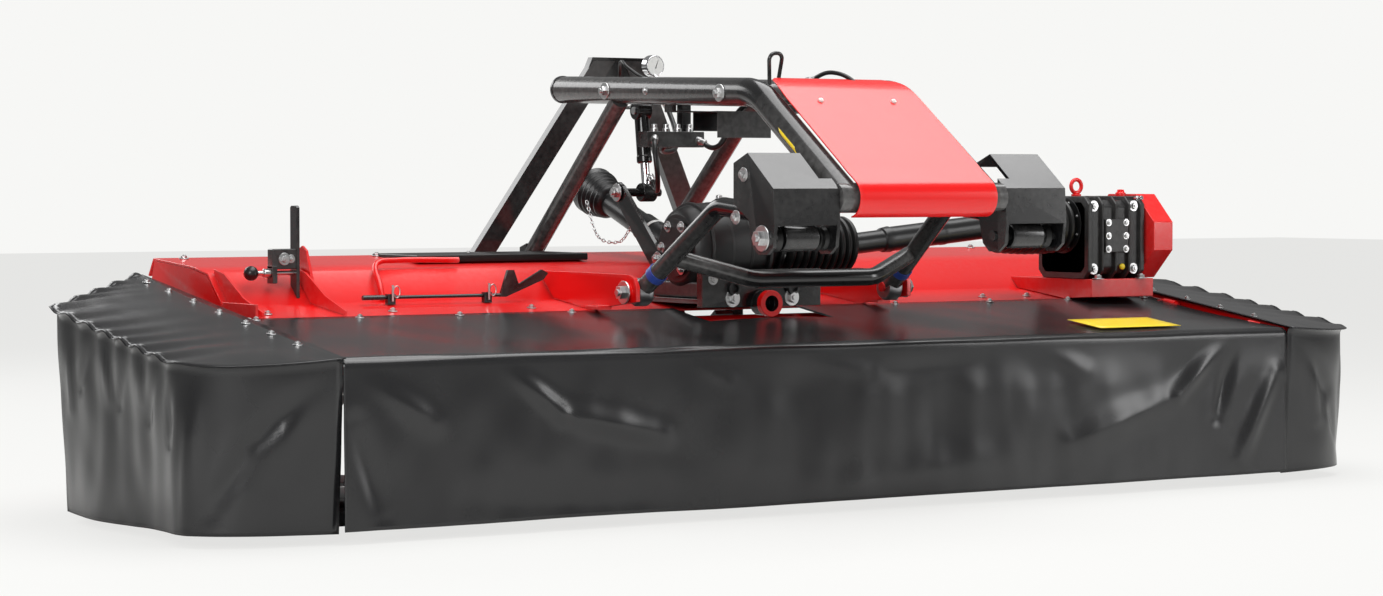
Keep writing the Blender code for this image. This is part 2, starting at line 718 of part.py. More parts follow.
def arm_route(sign):
    """A pulling arm's centre line, from its pivot back and down to its ball joint."""
    near, far = ARM_X
    pivot_y, pivot_z = ARM_PIVOT
    ball_y, ball_z = ARM_BALL
    corners = [(sign * near, pivot_y + 0.010, pivot_z + 0.004), (sign * near, -0.130, 0.800),
               (sign * (near + 0.010), 0.110, 0.822), (sign * far, ball_y - 0.010, ball_z + 0.008)]
    return rounded(corners, 0.075, 4)


def build_arms():
    """The two bent pulling arms, and the hoop welded between them."""
    near, far = ARM_X
    pivot_y, pivot_z = ARM_PIVOT
    ball_y, ball_z = ARM_BALL
    for name, sign in (("left", -1), ("right", 1)):
        arm = tube(arm_route(sign), ARM_R, 12)
        eye = rod((sign * near - 0.050, pivot_y, pivot_z), (sign * near + 0.050, pivot_y, pivot_z), 0.034)
        ball = rod((sign * far - 0.022, ball_y, ball_z), (sign * far + 0.022, ball_y, ball_z), 0.038)
        combine(arm, [eye, ball])
        hole_near = rod((sign * near - 0.1, pivot_y, pivot_z), (sign * near + 0.1, pivot_y, pivot_z),
                        PIN_R + SKIN)
        hole_far = rod((sign * far - 0.1, ball_y, ball_z), (sign * far + 0.1, ball_y, ball_z),
                       PIN_R + SKIN)
        cut(arm, [hole_near, hole_far])
        finish(arm, f"pull_arm_{name}", "black", MACHINE)
    end_x = near + 0.022
    end = (0.306, 0.680)
    hoop = tube(rounded([(-end_x, *end), (-0.200, 0.215, 0.622), (0.200, 0.215, 0.622),
                         (end_x, *end)], 0.10, 3), HOOP_R)
    cut(hoop, [tube(arm_route(sign), ARM_R + SKIN, 12) for sign in (-1, 1)])
    finish(hoop, "arm_hoop", "black", MACHINE)


def build_lugs():
    """Red lugs in front of the hood that hold the arms' ball joints."""
    ball_y, ball_z = ARM_BALL
    x = ARM_X[1] + 0.030
    lug = plate([(ball_y - 0.045, 0.560), (ball_y - 0.045, 0.600), (ball_y - 0.030, 0.625),
                 (ball_y, 0.634), (ball_y + 0.10, 0.634), (HOOD_BROW[0] - 0.020, 0.634),
                 (HOOD_FOOT[0] - 0.010, HOOD_FOOT[1] + 0.002), (HOOD_LIP[0] + 0.004, HOOD_LIP[1] + 0.001),
                 (HOOD_LIP[0] - 0.03, 0.5375)],
                "X", -x - 0.006, 0.012)
    foot = box((-x - 0.045, HOOD_LIP[0] - 0.080, 0.5352), (-x - 0.002, HOOD_LIP[0] - 0.010, 0.545))
    pin = rod((-x - 0.024, ball_y, ball_z), (-ARM_X[1] + 0.030, ball_y, ball_z), PIN_R)
    head = rod((-x - 0.026, ball_y, ball_z), (-x - 0.008, ball_y, ball_z), 0.026)
    combine(lug, [head, pin, foot])
    both_sides(lug, "arm_lug", "red", MACHINE)


def build_head_hood():
    """Red panel between the two main tubes, rolled round the cross tube."""
    half = TUBE_X - TUBE_R - 0.006
    roll = []
    for i in range(6):
        turn = math.radians(130 + 125 * i / 5)
        roll.append((CROSS_Y + ROLL_R * math.cos(turn), CROSS_Z + ROLL_R * math.sin(turn)))
    profile = list(reversed(roll)) + [(0.060, 1.128), (0.160, 1.158)]
    hood = folded(profile, 0.004, -half, half)
    pads = []
    for x in (-0.12, 0.12):
        pads.append(box((x - 0.015, CROSS_Y - ROLL_R + 0.001, CROSS_Z - 0.012),
                        (x + 0.015, CROSS_Y - TUBE_R + 0.006, CROSS_Z + 0.012)))
    combine(hood, pads)
    cut(hood, [rod((-half, CROSS_Y, CROSS_Z), (half, CROSS_Y, CROSS_Z), TUBE_R + SEAT)])
    finish(hood, "head_hood", "red", MACHINE)


# ---------------------------------------------------------------- drive line
def build_gearboxes():
    low, high = CENTRE_BOX
    centre = box(low, high)
    neck = rod((high[0] - 0.02, SHAFT_Y, CROSS_IN_Z), (BELLOWS_IN_X[0] - SKIN, SHAFT_Y, CROSS_IN_Z), 0.070)
    round_part = rod((low[0] + 0.010, SHAFT_Y, 0.700), (high[0] - 0.010, SHAFT_Y, 0.700), 0.128, sides=28)
    tip = Vector((0.0, *PTO_FRONT))
    line = (Vector((0.0, *PTO_BACK)) - tip).normalized()
    nose = rod(tip - line * 0.070, tip, 0.050)
    combine(centre, [neck, round_part, nose])
    finish(centre, "centre_gearbox", "cast", MACHINE)

    half = CARRIER_HALF
    shelf_z = 0.5457
    ring_z = 0.546
    plates = box((-half, 0.470, 0.536), (half, 0.4995, 0.640))
    ring = rod((0.0, 0.440, ring_z), (0.0, 0.480, ring_z), 0.036)
    shelf = box((-half, 0.490, shelf_z), (half, 0.760, low[2] - SKIN))
    combine(plates, [shelf, ring])
    cut(plates, [rod((0.0, 0.420, ring_z), (0.0, 0.465, ring_z), 0.022)])
    finish(plates, "centre_carrier", "black", MACHINE)

    low, high = SIDE_BOX
    side = box(low, high)
    flange = rod((low[0], SHAFT_Y, CROSS_OUT_Z), (low[0] + 0.02, SHAFT_Y, CROSS_OUT_Z), 0.080)
    lid = rod((low[0] + 0.05, SHAFT_Y, high[2] - 0.01), (low[0] + 0.05, SHAFT_Y, high[2] + 0.006), 0.03)
    neck = rod((high[0] - 0.01, SHAFT_Y, CROSS_OUT_Z), (BELT_X[0] - SKIN, SHAFT_Y, CROSS_OUT_Z), 0.060)
    combine(side, [flange, lid, neck])
    finish(side, "side_gearbox", "cast", MACHINE)
    base = plate([(low[1] - 0.010, HOOD_LIP[1] + 0.010), (HOOD_LIP[0] + 0.004, HOOD_LIP[1] + 0.003),
                  (HOOD_FOOT[0] - 0.004, HOOD_FOOT[1] + 0.0006), (HOOD_FOOT[0] + 0.030, HOOD_FOOT[1] + 0.029),
                  (HOOD_FOOT[0] + 0.030, low[2] - SKIN), (low[1] - 0.010, low[2] - SKIN)],
                 "X", (low[0] + BELT_X[0]) / 2 + 0.010, BELT_X[0] - low[0] + 0.010)
    finish(base, "side_gearbox_base", "red", MACHINE)

    low_y, high_y = BELT_Y
    low_z, high_z = BELT_Z
    c = BELT_CORNER
    outline = [(low_y, low_z + c), (low_y, high_z - c), (low_y + c, high_z), (high_y - c, high_z),
               (high_y, high_z - c), (high_y, low_z + c), (high_y - c, low_z), (low_y + c, low_z)]
    belt = plate(outline, "X", sum(BELT_X) / 2, BELT_X[1] - BELT_X[0])
    finish(belt, "belt_cover", "red", MACHINE)

    eye = tube([(1.255 + 0.020 * math.cos(math.radians(a)), SHAFT_Y,
                 SIDE_BOX[1][2] + 0.030 + 0.020 * math.sin(math.radians(a)))
                for a in range(-70, 251, 20)], 0.006, 8)
    finish(eye, "lifting_eye", "red", MACHINE)


def bellows(start_x, end_x, centre_z, ribs):
    """A ribbed rubber guard, turned on the shaft's axis: its profile runs from end to start."""
    pitch = (end_x - start_x) / ribs
    outline = [(0.0, end_x), (BELLOWS_R * BELLOWS_MOUTH, end_x)]
    for i in reversed(range(ribs)):
        outline.append((BELLOWS_R * BELLOWS_WAIST, start_x + pitch * (i + 0.85)))
        outline.append((BELLOWS_R, start_x + pitch * (i + 0.35)))
    outline += [(BELLOWS_R * BELLOWS_MOUTH, start_x), (0.0, start_x)]
    mesh = bpy.data.meshes.new("bellows")
    mesh.from_pydata([(radius, 0.0, x) for radius, x in outline],
                     [(i, i + 1) for i in range(len(outline) - 1)], [])
    guard = shape(mesh)
    screw = guard.modifiers.new("turned", "SCREW")
    screw.axis = "Z"
    screw.angle = 2 * math.pi
    screw.steps = BELLOWS_SIDES
    screw.render_steps = BELLOWS_SIDES
    screw.use_merge_vertices = True
    screw.merge_threshold = 0.0001
    guard = settle(guard)
    reshape(guard, Matrix.Translation((0.0, SHAFT_Y, centre_z)) @ Matrix.Rotation(math.pi / 2, 4, "Y"))
    return guard


def build_shafts():
    start, end = BELLOWS_IN_X
    finish(bellows(start, end, CROSS_IN_Z, 7), "centre_bellows", "rubber", MACHINE)
    far_start, far_end = BELLOWS_OUT_X
    far_end = SIDE_BOX[0][0] - SKIN
    finish(bellows(far_start, far_end, CROSS_OUT_Z, 7), "side_bellows", "rubber", MACHINE)
    tilt = (CROSS_OUT_Z - CROSS_IN_Z) / (far_start - end)
    a = Vector((end + SKIN + tilt * GUARD_R[0], SHAFT_Y, CROSS_IN_Z))
    b = Vector((far_start - SKIN - tilt * GUARD_R[1], SHAFT_Y, CROSS_OUT_Z))
    share = (GUARD_STEP_X - a.x) / (b.x - a.x)
    step = a.lerp(b, share)
    guard = rod(a, b, GUARD_R[0])
    combine(guard, [rod(step, b, GUARD_R[1])])
    finish(guard, "cross_shaft", "plastic", MACHINE)

    front = Vector((0.0, *PTO_FRONT))
    back = Vector((0.0, *PTO_BACK))
    line = (back - front).normalized()
    start = front + line * SEAT
    shaft = rod(start, back, PTO_R)
    sleeve = rod(start, front.lerp(back, 0.55), PTO_R + 0.006)
    cone = rod(back - line * CONE_LONG * 0.4, back + line * CONE_LONG * 0.6, 0.048, CONE_R, 24)
    inner = rod(start, front + line * 0.07, 0.052, 0.046)
    combine(shaft, [sleeve, cone, inner])
    finish(shaft, "pto_shaft", "plastic", MACHINE)


# ---------------------------------------------------------------- suspension and fittings
def build_suspension():
    """The lift cylinder between the headstock and the levers on the mower."""
    top_y, top_z = 0.945, 1.092
    eye_y, eye_z = 0.915, 0.855
    lever = plate([(0.650, 0.6480), (0.740, 0.6480), (eye_y + 0.028, eye_z - 0.010),
                   (eye_y + 0.022, eye_z + 0.020), (eye_y, eye_z + 0.030),
                   (eye_y - 0.024, eye_z + 0.018)], "X", -0.196, 0.012)
    pin = rod((-0.206, eye_y, eye_z), (-0.060, eye_y, eye_z), 0.012)
    combine(lever, [pin])
    finish(lever, "lift_lever", "black", MACHINE)

    body = rod((-0.105, top_y, top_z), (-0.105, eye_y + 0.002, eye_z + 0.018), 0.021)
    eye = rod((-0.128, eye_y, eye_z), (-0.082, eye_y, eye_z), 0.026)
    head = rod((-0.130, top_y, top_z), (-0.080, top_y, top_z), 0.028)
    combine(body, [eye, head])
    cut(body, [rod((-0.2, eye_y, eye_z), (0.0, eye_y, eye_z), 0.012 + SKIN)])
    finish(body, "lift_cylinder", "black", MACHINE)

    block = box((-0.175, 0.800, 0.985), (0.020, 0.850, 1.030))
    post = box((-0.030, 0.840, 1.020), (0.000, 0.870, 1.146))
    combine(block, [post])
    cut(block, [rod((-0.1, TIE_REAR_Y, TIE_REAR_Z), (0.1, TIE_REAR_Y, TIE_REAR_Z), TIE_R + SEAT)])
    finish(block, "valve_block", "black", MACHINE)

    tray = folded([(0.560, 1.010), (0.560, 1.085), (0.690, 1.085), (0.690, 1.030)], 0.004, -0.090, 0.090)
    straps = []
    for side in (-1, 1):
        low_x, high_x = sorted((side * 0.086, side * 0.215))
        straps.append(box((low_x, 0.600, 1.081), (high_x, 0.640, 1.085)))
        low_x, high_x = sorted((side * 0.203, side * 0.217))
        straps.append(box((low_x, 0.600, 1.0815), (high_x, 0.640, 1.125)))
    combine(tray, straps)
    cut(tray, [rod((side * TUBE_X, *TUBE_REAR), (side * TUBE_X, *TUBE_KNEE), TUBE_R + SEAT) for side in (-1, 1)])
    finish(tray, "hose_tray", "black", MACHINE)

    gauge = rod((-0.080, 0.905, 1.222), (-0.080, 0.935, 1.222), 0.031, sides=24)
    stem = rod((-0.080, 0.885, 1.160), (-0.080, 0.920, 1.205), 0.007)
    combine(gauge, [stem])
    cut(gauge, [rod((-0.1, TIE_REAR_Y, TIE_REAR_Z), (0.0, TIE_REAR_Y, TIE_REAR_Z), TIE_R + SEAT)])
    finish(gauge, "pressure_gauge", "chrome", MACHINE)


def build_latch():
    """Latch post for the left cover, with its spring plunger, on the hood's slope."""
    x = -1.245
    slope = (HOOD_BROW[1] - HOOD_FOOT[1]) / (HOOD_BROW[0] - HOOD_FOOT[0])

    def on_slope(y):
        return HOOD_FOOT[1] + slope * (y - HOOD_FOOT[0]) + 2 * SKIN
    post = plate([(0.866, on_slope(0.866)), (0.866, 0.822), (0.906, 0.822), (0.906, on_slope(0.906))],
                 "X", x, 0.010)
    block = box((x - 0.075, 0.868, 0.648), (x - 0.004, 0.902, 0.705))
    cheek = box((x - 0.075, 0.868, 0.610), (x - 0.060, 0.902, 0.650))
    plunger = rod((x - 0.130, 0.885, 0.640), (x - 0.001, 0.885, 0.640), 0.007)
    knob = rod((x - 0.150, 0.885, 0.640), (x - 0.112, 0.885, 0.640), 0.019)
    combine(post, [block, cheek, plunger, knob])
    finish(post, "cover_latch", "black", MACHINE)

    rib = plate([(HOOD_FOOT[0] + 0.004, HOOD_FOOT[1] + 0.006), (0.862, 0.600), (0.905, 0.700),
                 (0.930, 0.712), (0.955, 0.700), (0.960, HOOD_BROW[1] + 0.0035),
                 (HOOD_BROW[0] - 0.001, HOOD_BROW[1] + 0.0008)], "X", -1.200, 0.008)
    finish(rib, "hood_rib", "red", MACHINE)


def build_knife_tool():
    """The knife-changing lever, stored in two clips on the hood's front."""
    y, z = 0.800, 0.571
    tool = rod((-1.080, y, z), (-0.640, y, z), 0.005, sides=10)
    grip = rod((-1.085, y, z), (-1.020, y, z), 0.007, sides=10)
    fork = plate([(-0.660, 0.566), (-0.640, 0.566), (-0.520, 0.612), (-0.505, 0.630), (-0.525, 0.640),
                  (-0.600, 0.600), (-0.615, 0.640), (-0.635, 0.640)], "Y", y, 0.010)
    clips = [box((px - 0.012, y - 0.008, 0.5513), (px + 0.012, y + 0.008, 0.580)) for px in (-1.00, -0.70)]
    combine(tool, [grip, fork] + clips)
    finish(tool, "knife_tool", "black", MACHINE)


def build_parking_legs():
    for name, sign in (("left", -1), ("right", 1)):
        x = sign * LEG_X
        leg = box((x - LEG_SIDE / 2, LEG_Y - LEG_SIDE / 2, 0.004), (x + LEG_SIDE / 2, LEG_Y + LEG_SIDE / 2, LEG_TOP))
        foot = box((x - FOOT_SIDE / 2, LEG_Y - FOOT_SIDE / 2, 0.0), (x + FOOT_SIDE / 2, LEG_Y + FOOT_SIDE / 2, FOOT_THICK))
        combine(leg, [foot])
        cut(leg, [rod((x - 0.1, LEG_Y, LEG_TOP - 0.030), (x + 0.1, LEG_Y, LEG_TOP - 0.030), LEG_PIN_R + 0.0005)])
        axis = anchor(f"leg_{name}_axis", (x, LEG_Y, LEG_TOP - 0.03), MACHINE)
        finish(leg, f"parking_leg_{name}", "black", axis)


def main():
    global MACHINE, PARTS
    empty_scene()
    PARTS = bpy.data.collections.new("disc_mower")
    bpy.context.scene.collection.children.link(PARTS)
    MACHINE = anchor("machine", (0.0, -MIDDLE_Y, 0.0))
    build_cutter_bar()
    build_discs()
    build_hood()
    build_end_plates()
    build_swath_boards()
    build_rotor()
    build_front_skirt()
    build_side_covers()
    build_headstock()
    build_coupling_frame()
    build_brackets()
    build_arms()
    build_lugs()
    build_head_hood()
    build_gearboxes()
    build_shafts()
    build_suspension()
    build_parking_legs()
    build_latch()
    build_knife_tool()


MACHINE = None
PARTS = None
main()
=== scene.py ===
"""Looks of the front disc mower: its finishes, tarpaulin skirts, castings, hoses and fastenings.

Lengths are metres. Y is measured from the front skirt's plane, as place() turns into the frame's own Y.
"""
import math

import bmesh
import bpy
from mathutils import Matrix, Vector, noise


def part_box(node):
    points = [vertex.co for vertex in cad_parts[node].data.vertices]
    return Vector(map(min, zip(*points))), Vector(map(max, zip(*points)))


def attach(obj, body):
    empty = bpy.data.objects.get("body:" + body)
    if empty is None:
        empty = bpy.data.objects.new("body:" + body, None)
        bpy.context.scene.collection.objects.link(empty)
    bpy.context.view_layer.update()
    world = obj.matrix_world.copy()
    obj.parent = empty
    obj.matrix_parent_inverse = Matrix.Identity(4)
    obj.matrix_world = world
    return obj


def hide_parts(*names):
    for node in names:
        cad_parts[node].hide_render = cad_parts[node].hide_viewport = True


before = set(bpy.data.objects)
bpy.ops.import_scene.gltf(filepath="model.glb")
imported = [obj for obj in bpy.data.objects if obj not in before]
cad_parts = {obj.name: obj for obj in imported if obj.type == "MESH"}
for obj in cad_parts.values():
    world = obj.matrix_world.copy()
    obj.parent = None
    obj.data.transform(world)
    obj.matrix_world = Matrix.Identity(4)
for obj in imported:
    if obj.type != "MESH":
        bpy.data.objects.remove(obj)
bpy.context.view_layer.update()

FRONT_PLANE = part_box("front_skirt")[0].y


def place(x, y, z):
    """A point in the frame from a height, a width and a distance behind the front skirt."""
    return Vector((x, y + FRONT_PLANE, z))


# ---------------------------------------------------------------- shared shader effects
def node_group(name, inputs, outputs):
    group = bpy.data.node_groups.new(name, "ShaderNodeTree")
    for label, kind, value in inputs:
        socket = group.interface.new_socket(label, in_out="INPUT", socket_type=kind)
        socket.default_value = value
    for label, kind in outputs:
        group.interface.new_socket(label, in_out="OUTPUT", socket_type=kind)
    return group, group.nodes.new("NodeGroupInput"), group.nodes.new("NodeGroupOutput")


def add_node(tree, kind, **settings):
    node = tree.nodes.new(kind)
    for key, value in settings.items():
        setattr(node, key, value)
    return node


def grain_effect():
    """Fine uneven surface: a height that mixes a coarse and a fine noise."""
    group, start, end = node_group("Surface grain", [("Coarse scale", "NodeSocketFloat", 6.0),
                                                     ("Fine scale", "NodeSocketFloat", 400.0),
                                                     ("Fine share", "NodeSocketFloat", 0.3)],
                                   [("Height", "NodeSocketFloat")])
    tree = group
    spot = add_node(tree, "ShaderNodeNewGeometry")
    coarse = add_node(tree, "ShaderNodeTexNoise")
    fine = add_node(tree, "ShaderNodeTexNoise")
    mix = add_node(tree, "ShaderNodeMix", data_type="FLOAT")
    for noise_node, label in ((coarse, "Coarse scale"), (fine, "Fine scale")):
        tree.links.new(spot.outputs["Position"], noise_node.inputs["Vector"])
        tree.links.new(start.outputs[label], noise_node.inputs["Scale"])
        noise_node.inputs["Detail"].default_value = 4.0
    tree.links.new(start.outputs["Fine share"], mix.inputs[0])
    tree.links.new(coarse.outputs["Fac"], mix.inputs[2])
    tree.links.new(fine.outputs["Fac"], mix.inputs[3])
    tree.links.new(mix.outputs[0], end.inputs["Height"])
    return group


def dust_effect():
    """Dust and dull patches: tints a colour on upward faces and in blotches."""
    group, start, end = node_group("Settled dust", [("Color", "NodeSocketColor", (0.5, 0.5, 0.5, 1)),
                                                    ("Dust color", "NodeSocketColor", (0.4, 0.38, 0.35, 1)),
                                                    ("Amount", "NodeSocketFloat", 0.2),
                                                    ("Scale", "NodeSocketFloat", 5.0)],
                                   [("Color", "NodeSocketColor"), ("Mask", "NodeSocketFloat")])
    tree = group
    spot = add_node(tree, "ShaderNodeNewGeometry")
    axes = add_node(tree, "ShaderNodeSeparateXYZ")
    blotch = add_node(tree, "ShaderNodeTexNoise")
    blotch.inputs["Detail"].default_value = 6.0
    facing = add_node(tree, "ShaderNodeMapRange", clamp=True)
    facing.inputs["From Min"].default_value = -0.2
    facing.inputs["From Max"].default_value = 1.0
    patches = add_node(tree, "ShaderNodeMapRange", clamp=True)
    patches.inputs["From Min"].default_value = 0.35
    patches.inputs["From Max"].default_value = 0.75
    both = add_node(tree, "ShaderNodeMath", operation="MULTIPLY")
    share = add_node(tree, "ShaderNodeMath", operation="MULTIPLY", use_clamp=True)
    mix = add_node(tree, "ShaderNodeMix", data_type="RGBA")
    links = tree.links
    links.new(spot.outputs["Normal"], axes.inputs["Vector"])
    links.new(spot.outputs["Position"], blotch.inputs["Vector"])
    links.new(start.outputs["Scale"], blotch.inputs["Scale"])
    links.new(axes.outputs["Z"], facing.inputs["Value"])
    links.new(blotch.outputs["Fac"], patches.inputs["Value"])
    links.new(facing.outputs["Result"], both.inputs[0])
    links.new(patches.outputs["Result"], both.inputs[1])
    links.new(both.outputs["Value"], share.inputs[0])
    links.new(start.outputs["Amount"], share.inputs[1])
    links.new(share.outputs["Value"], mix.inputs[0])
    links.new(start.outputs["Color"], mix.inputs[6])
    links.new(start.outputs["Dust color"], mix.inputs[7])
    links.new(mix.outputs[2], end.inputs["Color"])
    links.new(share.outputs["Value"], end.inputs["Mask"])
    return group


def edge_effect():
    """Worn edges: a mask that is 1 on sharp outer edges, broken up by noise."""
    group, start, end = node_group("Edge wear", [("Color", "NodeSocketColor", (0.5, 0.5, 0.5, 1)),
                                                 ("Worn color", "NodeSocketColor", (0.6, 0.6, 0.6, 1)),
                                                 ("Amount", "NodeSocketFloat", 0.5)],
                                   [("Color", "NodeSocketColor"), ("Mask", "NodeSocketFloat")])
    tree = group
    spot = add_node(tree, "ShaderNodeNewGeometry")
    broken = add_node(tree, "ShaderNodeTexNoise")
    broken.inputs["Scale"].default_value = 60.0
    sharp = add_node(tree, "ShaderNodeMapRange", clamp=True)
    sharp.inputs["From Min"].default_value = 0.53
    sharp.inputs["From Max"].default_value = 0.62
    both = add_node(tree, "ShaderNodeMath", operation="MULTIPLY")
    share = add_node(tree, "ShaderNodeMath", operation="MULTIPLY", use_clamp=True)
    mix = add_node(tree, "ShaderNodeMix", data_type="RGBA")
    links = tree.links
    links.new(spot.outputs["Pointiness"], sharp.inputs["Value"])
    links.new(spot.outputs["Position"], broken.inputs["Vector"])
    links.new(sharp.outputs["Result"], both.inputs[0])
    links.new(broken.outputs["Fac"], both.inputs[1])
    links.new(both.outputs["Value"], share.inputs[0])
    links.new(start.outputs["Amount"], share.inputs[1])
    links.new(share.outputs["Value"], mix.inputs[0])
    links.new(start.outputs["Color"], mix.inputs[6])
    links.new(start.outputs["Worn color"], mix.inputs[7])
    links.new(mix.outputs[2], end.inputs["Color"])
    links.new(share.outputs["Value"], end.inputs["Mask"])
    return group


def weave_effect():
    """Cloth under a coating: the crossing threads of a base fabric, as a height."""
    group, start, end = node_group("Base fabric", [("Threads per metre", "NodeSocketFloat", 700.0),
                                                   ("Slack", "NodeSocketFloat", 0.4)],
                                   [("Height", "NodeSocketFloat")])
    tree = group
    spot = add_node(tree, "ShaderNodeNewGeometry")
    slack = add_node(tree, "ShaderNodeTexNoise")
    slack.inputs["Scale"].default_value = 9.0
    total = add_node(tree, "ShaderNodeMath", operation="ADD")
    slacker = add_node(tree, "ShaderNodeMath", operation="MULTIPLY")
    scale = add_node(tree, "ShaderNodeMath", operation="DIVIDE")
    scale.inputs[1].default_value = 2 * math.pi
    links = tree.links
    links.new(start.outputs["Threads per metre"], scale.inputs[0])
    waves = []
    for direction in ("X", "Z"):
        wave = add_node(tree, "ShaderNodeTexWave", bands_direction=direction)
        links.new(spot.outputs["Position"], wave.inputs["Vector"])
        links.new(scale.outputs["Value"], wave.inputs["Scale"])
        waves.append(wave)
    links.new(waves[0].outputs["Fac"], total.inputs[0])
    links.new(waves[1].outputs["Fac"], total.inputs[1])
    links.new(spot.outputs["Position"], slack.inputs["Vector"])
    links.new(slack.outputs["Fac"], slacker.inputs[0])
    links.new(start.outputs["Slack"], slacker.inputs[1])
    both = add_node(tree, "ShaderNodeMath", operation="MULTIPLY_ADD")
    both.inputs[1].default_value = 0.04
    links.new(total.outputs["Value"], both.inputs[0])
    links.new(slacker.outputs["Value"], both.inputs[2])
    links.new(both.outputs["Value"], end.inputs["Height"])
    return group


GRAIN = grain_effect()
DUST = dust_effect()
WEAR = edge_effect()
WEAVE = weave_effect()


# ---------------------------------------------------------------- finishes
def finish_material(name, color, roughness, metallic=0.0, coat=0.0, grain=(8.0, 300.0, 0.3, 0.1),
                    dust=0.15, wear=0.3, worn=(0.45, 0.44, 0.43), weave=None):
    """A finish whose colour is dusted and worn, and whose surface has a grain or a weave.

    grain is (coarse scale, fine scale, share of the fine one, bump strength).
    """
    material = bpy.data.materials.new(name)
    material.use_nodes = True
    tree = material.node_tree
    shader = tree.nodes["Principled BSDF"]
    shader.inputs["Metallic"].default_value = metallic
    shader.inputs["Coat Weight"].default_value = coat
    shader.inputs["Coat Roughness"].default_value = 0.08
    worn_edges = add_node(tree, "ShaderNodeGroup", node_tree=WEAR)
    worn_edges.inputs["Color"].default_value = (*color, 1)
    worn_edges.inputs["Worn color"].default_value = (*worn, 1)
    worn_edges.inputs["Amount"].default_value = wear
    dusty = add_node(tree, "ShaderNodeGroup", node_tree=DUST)
    dusty.inputs["Amount"].default_value = dust
    dusty.inputs["Dust color"].default_value = (0.30, 0.29, 0.27, 1)
    surface = add_node(tree, "ShaderNodeGroup", node_tree=WEAVE if weave else GRAIN)
    if weave:
        surface.inputs["Threads per metre"].default_value = weave
    else:
        surface.inputs["Coarse scale"].default_value = grain[0]
        surface.inputs["Fine scale"].default_value = grain[1]
        surface.inputs["Fine share"].default_value = grain[2]
    bump = add_node(tree, "ShaderNodeBump")
    bump.inputs["Strength"].default_value = grain[3]
    bump.inputs["Distance"].default_value = 0.002
    rougher = add_node(tree, "ShaderNodeMapRange")
    rougher.inputs["To Min"].default_value = roughness
    rougher.inputs["To Max"].default_value = min(roughness + 0.35, 1.0)
    links = tree.links
    links.new(worn_edges.outputs["Color"], dusty.inputs["Color"])
    links.new(dusty.outputs["Color"], shader.inputs["Base Color"])
    links.new(dusty.outputs["Mask"], rougher.inputs["Value"])
    links.new(rougher.outputs["Result"], shader.inputs["Roughness"])
    links.new(surface.outputs["Height"], bump.inputs["Height"])
    links.new(bump.outputs["Normal"], shader.inputs["Normal"])
    return material


FINISHES = {
    # finish: (material, slot)
    "red paint": (finish_material("Red paint", (0.80, 0.003, 0.003), 0.26, coat=0.15, dust=0.02,
                                  grain=(14.0, 500.0, 0.2, 0.05)), "red"),
    "black paint": (finish_material("Black paint", (0.006, 0.006, 0.0065), 0.20, coat=0.2, dust=0.02,
                                    grain=(18.0, 500.0, 0.2, 0.06)), "black"),
    "cast black": (finish_material("Cast black", (0.007, 0.007, 0.0075), 0.34, dust=0.03,
                                   grain=(30.0, 900.0, 0.6, 0.35)), "cast"),
    "tarpaulin": (finish_material("Coated tarpaulin", (0.013, 0.013, 0.014), 0.24, dust=0.04, wear=0.0,
                                  grain=(0, 0, 0, 0.18), weave=700.0), "tarpaulin"),
    "rubber": (finish_material("Rubber", (0.007, 0.007, 0.007), 0.38, dust=0.03, wear=0.0,
                               grain=(20.0, 600.0, 0.5, 0.15)), "rubber"),
    "steel": (finish_material("Worked steel", (0.40, 0.40, 0.41), 0.36, metallic=1.0, dust=0.12, wear=0.1,
                              grain=(10.0, 700.0, 0.5, 0.12)), "steel"),
    "zinc": (finish_material("Zinc plate", (0.62, 0.62, 0.62), 0.28, metallic=1.0, dust=0.05, wear=0.0,
                             grain=(10.0, 700.0, 0.5, 0.05)), "steel"),
    "chrome": (finish_material("Chrome", (0.80, 0.80, 0.82), 0.08, metallic=1.0, dust=0.0, wear=0.0,
                               grain=(10.0, 700.0, 0.5, 0.01)), "chrome"),
    "plastic": (finish_material("Guard plastic", (0.009, 0.009, 0.0095), 0.30, dust=0.03, wear=0.0,
                                grain=(16.0, 500.0, 0.5, 0.12)), "plastic"),
    "yellow plate": (finish_material("Yellow plate", (0.90, 0.66, 0.02), 0.35, dust=0.04, wear=0.0,
                                     grain=(16.0, 500.0, 0.5, 0.03)), "plastic"),
    "blue band": (finish_material("Blue band", (0.03, 0.07, 0.35), 0.35, dust=0.03, wear=0.0,
                                  grain=(16.0, 500.0, 0.5, 0.03)), "plastic"),
    "pale print": (finish_material("Pale plastic", (0.75, 0.75, 0.73), 0.4, dust=0.03, wear=0.0,
                                   grain=(16.0, 500.0, 0.5, 0.03)), "plastic"),
}


# ---------------------------------------------------------------- making pieces
def keep(ob, paint, body="machine", stands_for=()):
    """Give a piece its finish, the body it rides on and the nodes it stands for."""
    material, slot = FINISHES[paint]
    if ob.type == "CURVE" or not ob.data.materials:
        ob.data.materials.append(material)
    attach(ob, body)
    if stands_for:
        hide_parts(*stands_for)
    return ob


def mesh_object(name, bm):
    mesh = bpy.data.meshes.new(name)
    bmesh.ops.recalc_face_normals(bm, faces=bm.faces)
    bm.to_mesh(mesh)
    bm.free()
    mesh.polygons.foreach_set("use_smooth", [True] * len(mesh.polygons))
    ob = bpy.data.objects.new(name, mesh)
    bpy.context.scene.collection.objects.link(ob)
    return ob


def soften(ob, width=0.0015, segments=2):
    """Round a piece's sharp edges and keep its flat sides flat."""
    bevel = ob.modifiers.new("rounded edges", "BEVEL")
    bevel.width = width
    bevel.segments = segments
    bevel.limit_method = "ANGLE"
    bevel.angle_limit = math.radians(35)
    ob.modifiers.new("even shading", "WEIGHTED_NORMAL")
    return ob


